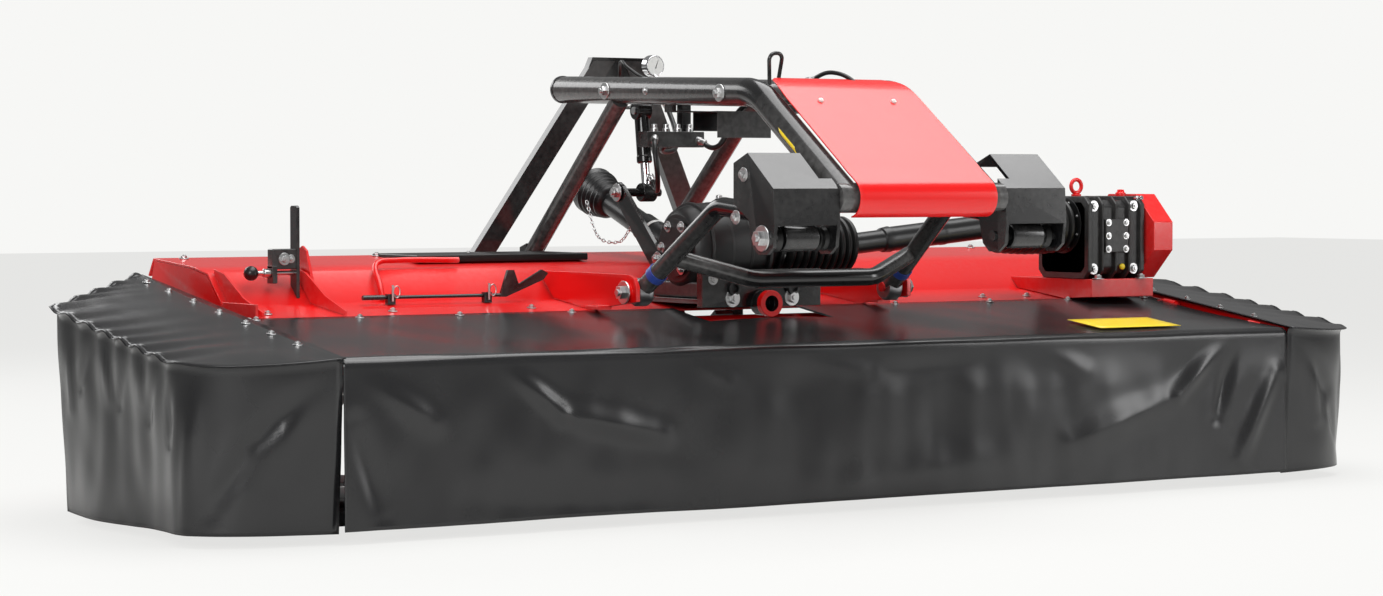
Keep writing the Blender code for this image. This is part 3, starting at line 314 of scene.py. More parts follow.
def dress(node, paint, width=0.0015):
    """Give a CAD node its finish and rounded edges, on welded and cleaned faces."""
    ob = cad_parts[node]
    ob.data.materials.clear()
    ob.data.materials.append(FINISHES[paint][0])
    weld = ob.modifiers.new("weld", "WELD")
    weld.merge_threshold = 0.00002
    flat = ob.modifiers.new("flat faces", "DECIMATE")
    flat.decimate_type = "DISSOLVE"
    flat.angle_limit = math.radians(0.4)
    ob.data.polygons.foreach_set("use_smooth", [True] * len(ob.data.polygons))
    return soften(ob, width)


def basis(direction):
    """A turn that takes +Z onto a direction."""
    return Vector((0, 0, 1)).rotation_difference(Vector(direction)).to_matrix().to_4x4()


def turned(name, profile, start, direction, steps=48):
    """A round piece: profile is (distance along the axis, radius) points."""
    points = [(radius, 0.0, along) for along, radius in profile]
    mesh = bpy.data.meshes.new(name)
    mesh.from_pydata(points, [(i, i + 1) for i in range(len(points) - 1)], [])
    ob = bpy.data.objects.new(name, mesh)
    bpy.context.scene.collection.objects.link(ob)
    screw = ob.modifiers.new("turned", "SCREW")
    screw.steps = steps
    screw.render_steps = steps
    screw.use_merge_vertices = True
    screw.merge_threshold = 0.00001
    screw.use_normal_calculate = True
    screw.use_smooth_shade = True
    ob.matrix_world = Matrix.Translation(start) @ basis(direction)
    return soften(ob, 0.0008)


def rounded(points, radius, steps=6):
    """A route whose inner corners are arcs."""
    route = [Vector(points[0])]
    for before, corner, after in zip(points, points[1:], points[2:]):
        corner = Vector(corner)
        back = (Vector(before) - corner).normalized()
        on = (Vector(after) - corner).normalized()
        half = back.angle(on) / 2
        reach = radius / math.tan(half)
        middle = corner + (back + on).normalized() * (radius / math.sin(half))
        first = (corner + back * reach - middle).normalized()
        last = (corner + on * reach - middle).normalized()
        for i in range(steps + 1):
            route.append(middle + first.slerp(last, i / steps) * radius)
    route.append(Vector(points[-1]))
    return route


def tube(name, route, radius, smooth=False):
    """A round bar or pipe along a route; smooth ones pass through their points as a curve."""
    curve = bpy.data.curves.new(name, "CURVE")
    curve.dimensions = "3D"
    curve.bevel_depth = radius
    curve.bevel_resolution = 6
    curve.use_fill_caps = True
    if smooth:
        line = curve.splines.new("BEZIER")
        line.bezier_points.add(len(route) - 1)
        for knot, point in zip(line.bezier_points, route):
            knot.co = point
            knot.handle_left_type = "AUTO"
            knot.handle_right_type = "AUTO"
    else:
        line = curve.splines.new("POLY")
        line.points.add(len(route) - 1)
        for knot, point in zip(line.points, route):
            knot.co = (*point, 1.0)
    line.use_smooth = True
    ob = bpy.data.objects.new(name, curve)
    bpy.context.scene.collection.objects.link(ob)
    return ob


def plate(name, outline, normal, level, thick, bevel=0.0012):
    """A flat plate with rounded edges. Square to X its outline is (y, z), to Y (x, z), to Z (x, y)."""
    bm = bmesh.new()
    corner = {"X": lambda u, v, w: place(w, u, v),
              "Y": lambda u, v, w: place(u, w, v),
              "Z": lambda u, v, w: place(u, v, w)}[normal]
    sides = [[bm.verts.new(corner(u, v, level + side * thick / 2)) for u, v in outline] for side in (-1, 1)]
    bm.faces.new(sides[0])
    bm.faces.new(sides[1])
    count = len(outline)
    for i in range(count):
        j = (i + 1) % count
        bm.faces.new((sides[0][i], sides[0][j], sides[1][j], sides[1][i]))
    return soften(mesh_object(name, bm), bevel)


def block(name, low, high, bevel=0.002):
    """A rectangular block with rounded edges."""
    (x0, y0, z0), (x1, y1, z1) = low, high
    return plate(name, [(x0, y0), (x1, y0), (x1, y1), (x0, y1)], "Z", (z0 + z1) / 2, z1 - z0, bevel)


def bolts(name, table, paint="zinc", body="machine"):
    """Hexagon heads on washers. The table's columns are x, y, z, direction, size across the flats."""
    bm = bmesh.new()
    for x, y, z, direction, across in table:
        turn = Matrix.Translation(place(x, y, z)) @ basis(direction)
        for radius, low, high, sides in ((across * 0.95, 0.0, across * 0.10, 24),
                                         (across * 0.577, across * 0.10, across * 0.55, 6),
                                         (across * 0.28, across * 0.55, across * 0.72, 16)):
            bmesh.ops.create_cone(bm, cap_ends=True, segments=sides, radius1=radius, radius2=radius * 0.97,
                                  depth=high - low,
                                  matrix=turn @ Matrix.Translation((0, 0, (low + high) / 2)))
    return keep(soften(mesh_object(name, bm), 0.0006), paint, body)


# ---------------------------------------------------------------- tarpaulin skirts
SKIRT = {
    "front half": 1.5445, "lip": (0.612, 0.5295), "bend": (0.250, 0.4835), "edge": 0.4525, "hem": 0.032,
    "cover edge": 1.5470, "cover side": 1.910, "cover corner": 0.217, "cover side end": 0.930,
    "cover back": 1.217, "rise": 0.140, "fall": 0.090, "cover front": 0.4605, "cloth": 0.0028,
}

# folds in the cloth: across and up at one end, across and up at the other, half width, height
FRONT_FOLDS = [
    (-1.10, 0.440, -0.93, 0.300, 0.022, 0.014),
    (-0.93, 0.300, -0.62, 0.235, 0.030, 0.011),
    (-1.49, 0.430, -1.30, 0.290, 0.030, 0.010),
    (-1.51, 0.300, -1.44, 0.060, 0.028, -0.008),
    (-0.20, 0.445, 0.05, 0.385, 0.030, 0.010),
    (0.05, 0.385, 0.42, 0.400, 0.035, -0.007),
    (-0.55, 0.445, -0.42, 0.370, 0.022, 0.007),
    (0.62, 0.445, 0.78, 0.360, 0.028, 0.008),
    (1.30, 0.430, 1.12, 0.270, 0.024, 0.016),
    (1.12, 0.270, 0.72, 0.150, 0.040, 0.012),
    (1.34, 0.420, 1.27, 0.200, 0.022, -0.010),
    (1.50, 0.330, 1.36, 0.080, 0.028, 0.012),
    (-0.10, 0.060, 0.50, 0.120, 0.060, 0.006),
    (-1.20, 0.090, -0.60, 0.050, 0.050, -0.006),
]
COVER_FOLDS = [
    # along the outline from the front seam, and up
    (0.05, 0.430, 0.22, 0.260, 0.028, 0.014),
    (0.22, 0.260, 0.33, 0.090, 0.030, 0.010),
    (0.10, 0.400, 0.16, 0.180, 0.020, -0.008),
    (0.36, 0.440, 0.40, 0.050, 0.022, -0.012),
    (0.44, 0.430, 0.47, 0.250, 0.016, 0.012),
    (0.52, 0.440, 0.60, 0.300, 0.018, 0.012),
    (0.62, 0.450, 0.64, 0.350, 0.014, -0.010),
    (0.72, 0.460, 0.78, 0.330, 0.018, 0.012),
    (0.86, 0.480, 0.84, 0.340, 0.016, -0.010),
    (0.95, 0.500, 1.02, 0.360, 0.020, 0.012),
    (1.08, 0.500, 1.10, 0.300, 0.020, -0.010),
    (1.20, 0.520, 1.30, 0.330, 0.026, 0.012),
]


def fold_height(u, v, folds):
    """How far the cloth stands proud at a place, from the folds that pass it."""
    height = 0.0
    for u0, v0, u1, v1, width, high in folds:
        along = Vector((u1 - u0, v1 - v0))
        offset = Vector((u - u0, v - v0))
        share = max(0.0, min(1.0, offset.dot(along) / along.length_squared))
        distance = (offset - along * share).length
        taper = 0.35 + 0.65 * math.sin(math.pi * min(max(share, 0.05), 0.95))
        height += high * taper * math.exp(-(distance / width) ** 2)
    return height


def billow(u, v, seed, size, coarse=3.0):
    """Soft uneven waves of hanging cloth."""
    slow = noise.noise(Vector((u * coarse, v * coarse * 0.8, seed)))
    quick = noise.noise(Vector((u * coarse * 4, v * coarse * 2.2, seed + 7)))
    return size * (slow + 0.28 * quick)


def smooth_step(value):
    value = max(0.0, min(1.0, value))
    return value * value * (3 - 2 * value)


def grid_sheet(name, rows, thick):
    """A cloth sheet from rows of points, with its thickness grown inwards."""
    bm = bmesh.new()
    grid = [[bm.verts.new(point) for point in row] for row in rows]
    for upper, lower in zip(grid, grid[1:]):
        for i in range(len(upper) - 1):
            bm.faces.new((upper[i], upper[i + 1], lower[i + 1], lower[i]))
    ob = mesh_object(name, bm)
    cloth = ob.modifiers.new("cloth", "SOLIDIFY")
    cloth.thickness = thick
    cloth.offset = 0.0
    return ob


def front_skirt():
    """The front skirt: from the hood's lip over its frame to a soft edge, then hanging to its hem."""
    half = SKIRT["front half"]
    (lip_y, lip_z), (bend_y, bend_z), edge = SKIRT["lip"], SKIRT["bend"], SKIRT["edge"]
    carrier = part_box("centre_carrier")[1].x + 0.016
    across = [-half + 2 * half * i / 300 for i in range(301)]
    rows = []
    top_steps, turn_steps, drop_steps = 22, 7, 44
    radius = 0.016
    for i in range(top_steps + 1):
        share = i / top_steps
        row = []
        for x in across:
            y = lip_y + (radius - lip_y) * share
            if abs(x) < carrier:
                y = min(y, lip_y - 0.0)
            rise = (y - bend_y) / (lip_y - bend_y)
            z = bend_z + (lip_z - bend_z) * rise if y > bend_y else edge + (bend_z - edge) * y / bend_y
            inside = math.sin(math.pi * share)
            z += inside * billow(x, y, 3.0, 0.005, 2.2)
            sag = 0.006 * inside * (0.5 + 0.5 * math.cos(2 * math.pi * x / 0.6 + math.pi))
            row.append(place(x, y, z - sag))
        rows.append(row)
    for i in range(1, turn_steps + 1):
        turn = math.radians(90 * i / turn_steps)
        row = []
        for x in across:
            proud = 0.004 * noise.noise(Vector((x * 2.4, 0.0, 5.0)))
            row.append(place(x, radius - radius * math.sin(turn) - proud,
                             edge - radius + radius * math.cos(turn) + proud))
        rows.append(row)
    high = edge - radius
    for i in range(1, drop_steps + 1):
        share = i / drop_steps
        row = []
        for x in across:
            z = high + (SKIRT["hem"] - high) * share
            free = smooth_step(share * 3)
            out = free * (billow(x, z, 11.0, 0.009) + fold_height(x, z, FRONT_FOLDS) + 0.006 * share)
            out += 0.004 * noise.noise(Vector((x * 2.4, 0.0, 5.0))) * (1 - free)
            low = 0.004 * noise.noise(Vector((x * 1.7, 2.0, 1.0))) * share
            row.append(place(x, -out, z + low))
        rows.append(row)
    ob = grid_sheet("front_skirt_cloth", rows, SKIRT["cloth"])
    return ob


def notch_carrier(ob):
    """Open the front skirt's top round the middle carrier."""
    low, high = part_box("centre_carrier")
    bm = bmesh.new()
    bm.from_mesh(ob.data)
    gone = [face for face in bm.faces
            if all(abs(v.co.x) < high.x + 0.016 and v.co.y > low.y - 0.018 for v in face.verts)]
    bmesh.ops.delete(bm, geom=gone, context="FACES")
    bm.to_mesh(ob.data)
    bm.free()
    return ob


def cover_plan(steps_corner=26, steps_side=44, steps_back=26):
    """The left cover's outline from its front seam round to its rear seam, and the length along it."""
    inner, side, corner = SKIRT["cover edge"], SKIRT["cover side"], SKIRT["cover corner"]
    wide = side - inner
    points = []
    for i in range(steps_corner):
        turn = math.radians(90 * i / steps_corner)
        points.append(Vector((-inner - wide * math.sin(turn), corner * (1 - math.cos(turn)))))
    for i in range(steps_side):
        points.append(Vector((-side, corner + (SKIRT["cover side end"] - corner) * i / steps_side)))
    start = Vector((-side, SKIRT["cover side end"]))
    end = Vector((-inner, SKIRT["cover back"]))
    for i in range(steps_back + 1):
        points.append(start.lerp(end, i / steps_back))
    lengths = [0.0]
    for before, after in zip(points, points[1:]):
        lengths.append(lengths[-1] + (after - before).length)
    return points, lengths


def cover_level(x, y):
    return SKIRT["cover front"] + SKIRT["rise"] * y - SKIRT["fall"] * (abs(x) - SKIRT["cover edge"])


def side_cover(name, sign, body, node):
    """A side cover: a sloping top sheet that turns over its frame and hangs round three sides."""
    points, lengths = cover_plan()
    normals = []
    for i, point in enumerate(points):
        before, after = points[max(i - 1, 0)], points[min(i + 1, len(points) - 1)]
        along = (after - before).normalized()
        normals.append(Vector((-along.y, along.x)) * -1.0)
    radius = 0.020
    rows = []
    top_steps, turn_steps, drop_steps = 16, 6, 40
    seed = 20.0 + sign

    def pucker(length):
        """Gathers at the top edge of the side, where the cloth is pinned to its frame."""
        pinned = smooth_step((length - 0.38) / 0.1)
        return pinned * 0.006 * math.sin(2 * math.pi * length / 0.115 + 0.8 * math.sin(length * 9))

    for i in range(top_steps + 1):
        share = i / top_steps
        row = []
        for point, normal, length in zip(points, normals, lengths):
            inner = Vector((-SKIRT["cover edge"], min(max(point.y, 0.0), SKIRT["cover back"])))
            edge = point - normal * radius
            spot = inner.lerp(edge, share)
            hump = math.sin(math.pi * share)
            z = cover_level(spot.x, spot.y) + hump * billow(spot.x, spot.y, seed, 0.006, 4.0)
            z += pucker(length) * share ** 3
            row.append(place(-sign * spot.x, spot.y, z))
        rows.append(row)
    for i in range(1, turn_steps + 1):
        turn = math.radians(90 * i / turn_steps)
        row = []
        for point, normal, length in zip(points, normals, lengths):
            spot = point - normal * radius * (1 - math.sin(turn))
            high = cover_level(point.x, point.y)
            spot = spot + normal * pucker(length) * 0.5 * math.sin(turn)
            row.append(place(-sign * spot.x, spot.y, high - radius * (1 - math.cos(turn)) + pucker(length)))
        rows.append(row)
    for i in range(1, drop_steps + 1):
        share = i / drop_steps
        row = []
        for point, normal, length in zip(points, normals, lengths):
            high = cover_level(point.x, point.y) - radius
            hem = 0.026 + 0.004 * math.sin(length * 5.0)
            z = high + (hem - high) * share
            free = smooth_step(share * 2.4)
            out = free * (billow(length, z, seed + 3, 0.010) + fold_height(length, z, COVER_FOLDS))
            out += free * (0.016 * share + 0.010 * math.sin(2 * math.pi * length / 0.62 + 1.1) * share)
            out += pucker(length) * 0.5 * (1 - share)
            spot = point + normal * out
            row.append(place(-sign * spot.x, spot.y, z))
        rows.append(row)
    return grid_sheet(name, rows, SKIRT["cloth"])


def build_skirts():
    front = notch_carrier(front_skirt())
    keep(front, "tarpaulin", "machine", ["front_skirt"])
    for side, sign in (("left", -1), ("right", 1)):
        cover = side_cover(f"side_cover_{side}_cloth", sign, f"side_cover_{side}", f"side_cover_{side}")
        keep(cover, "tarpaulin", f"side_cover_{side}", [f"side_cover_{side}"])


build_skirts()


# ---------------------------------------------------------------- CAD nodes that keep their shape
DRESSED = {
    "red paint": ("arm_lug_left", "arm_lug_right", "belt_cover", "conditioner_hood", "cover_frame_left",
                  "cover_frame_right", "end_plate_left", "end_plate_right", "hood_rib",
                  "side_gearbox_base", "skirt_frame", "swath_board_left", "swath_board_right"),
    "black paint": ("centre_carrier", "conditioner_rotor", "coupling_frame", "hose_tray", "knife_tool",
                    "lift_lever", "parking_leg_left", "parking_leg_right", "pull_bracket_left",
                    "pull_bracket_right", "valve_block"),
    "steel": ("cutter_bar", "disc_1", "disc_2", "disc_3", "disc_4", "disc_5", "disc_6", "disc_7", "disc_8"),
}
for paint, nodes in DRESSED.items():
    for node in nodes:
        dress(node, paint)

# ---------------------------------------------------------------- headstock
TUBE_X = 0.230
TUBE_R = 0.039
TUBE_REAR = (1.180, 1.157)
TUBE_KNEE = (0.145, 1.126)
CROSS = (-0.262, 0.845)
TIES = ((0.880, 1.146), (0.280, 1.127))
BRACE_TOP = (0.860, 1.118)
BRACE_FOOT = (1.393, 0.642)
BRACKET_IN = 0.2695
BRACKET_OUT = 0.474


def build_headstock():
    pieces = []
    for side, sign in (("left", -1), ("right", 1)):
        x = sign * TUBE_X
        route = rounded([place(x, *TUBE_REAR), place(x, *TUBE_KNEE), place(x, *CROSS)], 0.180, 14)
        pieces.append(tube(f"main_tube_{side}", route, TUBE_R))
        pieces.append(tube(f"brace_{side}", [place(x, *BRACE_TOP), place(x, *BRACE_FOOT)], 0.027))
        cap = turned(f"tube_cap_{side}", [(0.0, 0.0), (0.0, 0.0405), (0.010, 0.0405), (0.014, 0.036), (0.018, 0.0)],
                     place(x, TUBE_REAR[0] - 0.004, TUBE_REAR[1]), (0, 1, 0.03))
        pieces.append(cap)
        foot = plate(f"brace_foot_{side}", [(1.372, 0.600), (1.402, 0.600), (1.396, 0.690), (1.356, 0.702)],
                     "X", x, 0.050)
        pieces.append(foot)
    pieces.append(tube("cross_tube", [place(-BRACKET_IN + 0.002, *CROSS), place(BRACKET_IN - 0.002, *CROSS)],
                       TUBE_R))
    for number, tie in enumerate(TIES, start=1):
        pieces.append(tube(f"tie_tube_{number}", [place(-TUBE_X, *tie), place(TUBE_X, *tie)], 0.030))
    for piece in pieces:
        keep(piece, "black paint")
    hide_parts("headstock")
    table = []
    for sign in (-1, 1):
        for y, z in TIES:
            table.append((sign * (TUBE_X + TUBE_R - 0.001), y, z, (sign, 0, 0), 0.026))
        table.append((sign * (TUBE_X + TUBE_R - 0.001), 0.660, 1.141, (sign, 0, 0), 0.012))
    bolts("tube_bolts", table)


def build_head_hood():
    """The red panel over the main tubes: rolled at its front edge, with rounded upper corners."""
    half = 0.222
    radius = 0.050
    profile = []
    for i in range(13):
        turn = math.radians(262 - 136 * i / 12)
        profile.append((CROSS[0] + radius * math.cos(turn), CROSS[1] + radius * math.sin(turn)))
    start, end = Vector(profile[-1]), Vector((0.062, 1.133))
    for i in range(1, 17):
        profile.append(tuple(start.lerp(end, i / 16)))
    profile += [(0.090, 1.149), (0.120, 1.159), (0.150, 1.164)]
    count = len(profile)
    rows = []
    for j, (y, z) in enumerate(profile):
        left = (count - 1 - j) / 5
        pull = 0.045 * (1 - math.sqrt(max(0.0, 1 - max(0.0, 1 - left) ** 2)))
        crease = 0.0015 * math.exp(-((j - 14.0) / 0.8) ** 2)
        rows.append([place((half - pull) * (-1 + 2 * i / 24), y, z - crease) for i in range(25)])
    hood = grid_sheet("head_hood_panel", rows, 0.004)
    soften(hood, 0.0012)
    keep(hood, "red paint", "machine", ["head_hood"])
    bolts("head_hood_bolts", [(-0.12, 0.015, 1.0995, (0, -0.56, 0.83), 0.014),
                              (0.12, 0.015, 1.0995, (0, -0.56, 0.83), 0.014)], "pale print")
    loop = tube("hood_handle", rounded([place(-0.135, 0.235, 1.150), place(-0.150, 0.215, 1.235),
                                        place(-0.105, 0.215, 1.235), place(-0.105, 0.240, 1.150)], 0.018, 6), 0.0055)
    keep(loop, "black paint")


# ---------------------------------------------------------------- pulling arms
ARM_PIVOT = (-0.235, 0.742)
ARM_X = (0.368, 0.420)
ARM_BALL = (0.440, 0.585)


def build_arms():
    near, far = ARM_X
    for side, sign in (("left", -1), ("right", 1)):
        corners = [place(sign * near, ARM_PIVOT[0] + 0.010, ARM_PIVOT[1] + 0.004),
                   place(sign * near, -0.130, 0.800), place(sign * (near + 0.010), 0.110, 0.822),
                   place(sign * far, ARM_BALL[0] - 0.010, ARM_BALL[1] + 0.008)]
        arm = tube(f"arm_bar_{side}", rounded(corners, 0.075, 10), 0.026)
        keep(arm, "black paint", "machine", [f"pull_arm_{side}"])
        profile = [(-0.052, 0.0), (-0.052, 0.030), (-0.046, 0.034), (0.046, 0.034), (0.052, 0.030), (0.052, 0.0)]
        eye = turned(f"arm_eye_{side}", profile, place(sign * near, *ARM_PIVOT), (1, 0, 0))
        keep(eye, "black paint")
        ball = turned(f"arm_ball_{side}", [(-0.023, 0.0), (-0.023, 0.033), (-0.015, 0.0385), (0.015, 0.0385),
                                           (0.023, 0.033), (0.023, 0.0)], place(sign * far, *ARM_BALL), (1, 0, 0))
        keep(ball, "steel")
        down = (corners[3] - corners[2]).normalized()
        band = turned(f"arm_band_{side}", [(0.0, 0.0262), (0.0, 0.0285), (0.024, 0.0285), (0.024, 0.0262)],
                      corners[3] - down * 0.085, down)
        keep(band, "blue band")
    hoop = tube("arm_hoop_bar", rounded([place(-0.390, 0.306, 0.680), place(-0.200, 0.215, 0.622),
                                         place(0.200, 0.215, 0.622), place(0.390, 0.306, 0.680)], 0.10, 10), 0.024)
    keep(hoop, "black paint", "machine", ["arm_hoop"])
    table = []
    for sign in (-1, 1):
        outer = sign * (BRACKET_OUT + 0.001)
        table += [(outer, -0.235, 0.742, (sign, 0, 0), 0.036), (outer, -0.150, 0.905, (sign, 0, 0), 0.020),
                  (outer, -0.115, 0.795, (sign, 0, 0), 0.020),
                  (sign * (ARM_X[1] + 0.054), ARM_BALL[0], ARM_BALL[1], (sign, 0, 0), 0.034)]
    bolts("bracket_bolts", table)
    for side, sign in (("left", -1), ("right", 1)):
        for number, offset in enumerate((-0.078, 0.070), start=1):
            wheel = turned(f"bracket_roller_{side}_{number}",
                           [(-0.020, 0.0), (-0.020, 0.026), (-0.014, 0.034), (0.0, 0.029), (0.014, 0.034),
                            (0.020, 0.026), (0.020, 0.0)],
                           place(sign * (ARM_X[0] + offset), ARM_PIVOT[0] + 0.012, ARM_PIVOT[1] - 0.002), (1, 0, 0))
            keep(wheel, "rubber")


# ---------------------------------------------------------------- drive line
SHAFT_Y = 0.620
CROSS_IN_Z = 0.703
CROSS_OUT_Z = 0.754


def bellows_profile(start, end, ribs, radius):
    """A ribbed guard: rounded rings that shrink a little towards its ends."""
    points = [(start, 0.0), (start, radius * 0.62), (start + 0.006, radius * 0.66)]
    pitch = (end - start - 0.020) / ribs
    for i in range(ribs):
        middle = start + 0.010 + pitch * (i + 0.5)
        size = radius * (0.93 + 0.07 * math.sin(math.pi * (i + 0.5) / ribs))
        points += [(middle - pitch * 0.48, size * 0.82), (middle - pitch * 0.22, size * 0.97), (middle, size),
                   (middle + pitch * 0.22, size * 0.97), (middle + pitch * 0.48, size * 0.82)]
    points += [(end - 0.006, radius * 0.66), (end, radius * 0.62), (end, 0.0)]
    return points


def build_drive():
    for node, z in (("centre_bellows", CROSS_IN_Z), ("side_bellows", CROSS_OUT_Z)):
        low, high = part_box(node)
        guard = turned(f"{node}_guard", bellows_profile(0.0, high.x - low.x, 10, 0.088),
                       place(low.x, SHAFT_Y, z), (1, 0, 0), 64)
        guard.modifiers.clear
        keep(guard, "rubber", "machine", [node])
    low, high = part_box("cross_shaft")
    start, end = place(low.x, SHAFT_Y, CROSS_IN_Z), place(high.x, SHAFT_Y, CROSS_OUT_Z)
    long = (end - start).length
    step = long * 0.23
    profile = [(0.0, 0.0), (0.0, 0.031), (0.012, 0.034), (0.020, 0.031), (step - 0.004, 0.031), (step, 0.036),
               (step + 0.024, 0.0385), (step + 0.030, 0.036), (long * 0.62, 0.036), (long * 0.62 + 0.004, 0.0375),
               (long * 0.62 + 0.020, 0.0375), (long * 0.62 + 0.024, 0.036), (long, 0.036), (long, 0.0)]
    keep(turned("cross_shaft_guard", profile, start, end - start, 64), "plastic", "machine", ["cross_shaft"])

    front, back = place(0.0, 0.812, 0.648), place(0.0, 1.330, 0.838)
    line = (back - front).normalized()
    start = front + line * 0.001
    long = (back - start).length
    ribs = []
    for i in range(5):
        along = long - 0.040 + 0.017 * i
        size = 0.050 + 0.0045 * i
        ribs += [(along, size), (along + 0.004, size + 0.004), (along + 0.009, size + 0.004), (along + 0.012, size)]
    profile = [(0.0, 0.0), (0.0, 0.052), (0.020, 0.052), (0.070, 0.044), (0.075, 0.042), (long * 0.55, 0.042),
               (long * 0.55 + 0.004, 0.036), (long - 0.050, 0.036), (long - 0.046, 0.046)]
    profile += ribs + [(long + 0.058, 0.072), (long + 0.062, 0.073), (long + 0.062, 0.062), (long + 0.010, 0.040),
                       (long + 0.010, 0.0)]
    keep(turned("pto_guard", profile, start, line, 64), "plastic", "machine", ["pto_shaft"])
    fork = turned("pto_yoke", [(0.0, 0.0), (0.0, 0.026), (0.040, 0.026), (0.044, 0.020), (0.044, 0.0)],
                  back + line * 0.008, line)
    keep(fork, "steel")
    band = turned("pto_band", [(0.0, 0.0422), (0.0, 0.0432), (0.012, 0.0432), (0.012, 0.0422)],
                  start + line * 0.235, line)
    keep(band, "pale print")
    build_chain([back + Vector((-0.066, -0.010, -0.010)), back + Vector((-0.080, -0.10, -0.115)),
                 back + Vector((-0.060, -0.19, -0.130)), start + line * 0.300 + Vector((-0.046, 0, 0.004))])


def build_chain(route):
    """The guard's chain: links that hang along a curve, each turned from the last."""
    points = []
    for i in range(61):
        share = i / 60 * (len(route) - 1)
        k = min(int(share), len(route) - 2)
        before, after = route[max(k - 1, 0)], route[min(k + 2, len(route) - 1)]
        t = share - k
        points.append(0.5 * ((2 * route[k]) + (route[k + 1] - before) * t
                             + (2 * before - 5 * route[k] + 4 * route[k + 1] - after) * t * t
                             + (3 * route[k] - before - 3 * route[k + 1] + after) * t ** 3))
    total = sum((b - a).length for a, b in zip(points, points[1:]))
    pitch = 0.0125
    bm = bmesh.new()
    walked, index = 0.0, 0
    for number in range(int(total / pitch)):
        goal = number * pitch + pitch / 2
        while index < len(points) - 2 and walked + (points[index + 1] - points[index]).length < goal:
            walked += (points[index + 1] - points[index]).length
            index += 1
        along = (points[index + 1] - points[index]).normalized()
        spot = points[index] + along * (goal - walked)
        turn = Matrix.Translation(spot) @ basis(along) @ Matrix.Rotation(math.pi / 2 * (number % 2), 4, "Z")
        rings = []
        for i in range(14):
            a = 2 * math.pi * i / 14
            middle = Vector((0.0042 * math.cos(a), 0.0, 0.0080 * math.sin(a)))
            out = Vector((math.cos(a), 0.0, math.sin(a)))
            rings.append([bm.verts.new(turn @ (middle + 0.0014 * (out * math.cos(b) + Vector((0, 1, 0)) * math.sin(b))))
                          for b in (2 * math.pi * k / 6 for k in range(6))])
        for i in range(14):
            for k in range(6):
                bm.faces.new((rings[i][k], rings[i][(k + 1) % 6], rings[(i + 1) % 14][(k + 1) % 6],
                              rings[(i + 1) % 14][k]))
    keep(mesh_object("guard_chain", bm), "zinc")


def casting_ring(name, start, direction, radius, thick, count, across):
    """A flange with a ring of bolts."""
    ring = turned(name, [(0.0, 0.0), (0.0, radius), (thick, radius), (thick, 0.0)], start, direction)
    keep(ring, "cast black")
    turn = Matrix.Translation(start) @ basis(direction)
    table = []
    for i in range(count):
        a = 2 * math.pi * (i + 0.5) / count
        spot = turn @ Vector((radius * 0.84 * math.cos(a), radius * 0.84 * math.sin(a), thick - 0.0005))
        table.append((spot.x, spot.y - FRONT_PLANE, spot.z, direction, across))
    bolts(f"{name}_bolts", table)


def build_centre_gearbox():
    low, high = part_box("centre_gearbox")
    x0, x1 = low.x, high.x
    body = turned("centre_housing", [(0.0, 0.0), (0.0, 0.095), (0.012, 0.110), (0.050, 0.124), (0.110, 0.128),
                                     (0.200, 0.126), (0.250, 0.112), (0.268, 0.090), (0.300, 0.074),
                                     (x1 - x0, 0.070), (x1 - x0, 0.0)], place(x0, SHAFT_Y, 0.700), (1, 0, 0), 72)
    keep(body, "cast black", "machine", ["centre_gearbox"])
    for number, x in enumerate((-0.150, -0.085, -0.020, 0.045), start=1):
        rib = turned(f"centre_rib_{number}", [(0.0, 0.0), (0.0, 0.1275), (0.002, 0.1285), (0.008, 0.1285),
                                              (0.010, 0.1275), (0.010, 0.0)], place(x, SHAFT_Y, 0.700), (1, 0, 0), 64)
        keep(rib, "cast black")
    casting_ring("centre_cap", place(x0 + 0.001, SHAFT_Y, 0.700), (-1, 0, 0), 0.082, 0.008, 6, 0.017)
    casting_ring("centre_neck", place(0.112, SHAFT_Y, CROSS_IN_Z), (1, 0, 0), 0.086, 0.012, 8, 0.015)
    keep(block("centre_foot", (-0.180, 0.505, 0.5605), (0.110, 0.775, 0.606), 0.006), "cast black")
    nose = place(0.0, 0.812, 0.648)
    line = (place(0.0, 1.330, 0.838) - nose).normalized()
    keep(turned("centre_nose", [(0.0, 0.0), (0.0, 0.070), (0.040, 0.062), (0.090, 0.056), (0.098, 0.050), (0.099, 0.0)],
                nose - line * 0.100, line), "cast black")
    casting_ring("centre_nose_ring", nose - line * 0.060, line, 0.070, 0.010, 6, 0.013)
    keep(turned("centre_breather", [(0.0, 0.0), (0.0, 0.013), (0.010, 0.013), (0.014, 0.009), (0.022, 0.009),
                                    (0.024, 0.0)], place(-0.060, SHAFT_Y - 0.020, 0.8255), (0, 0, 1)), "zinc")
    for number, (x, z) in enumerate(((-0.10, 0.588), (0.10, 0.588)), start=1):
        end = turned(f"carrier_stub_{number}", [(0.0, 0.0), (0.0, 0.019), (0.014, 0.019), (0.014, 0.012), (0.004, 0.011),
                                                (0.004, 0.0)], place(x, 0.4705, z), (0, -1, 0))
        keep(end, "cast black")
    ring = turned("carrier_ring", [(0.0, 0.0225), (0.0, 0.037), (0.020, 0.037), (0.020, 0.0225)],
                  place(0.0, 0.4395, 0.546) + Vector((0, 0.002, 0)), (0, -1, 0))
    keep(ring, "red paint")
    bolts("carrier_bolts", [(-0.100, 0.470, 0.560, (0, -1, 0), 0.026), (0.100, 0.470, 0.560, (0, -1, 0), 0.026),
                            (-0.165, 0.470, 0.615, (0, -1, 0), 0.017), (0.165, 0.470, 0.615, (0, -1, 0), 0.017)])


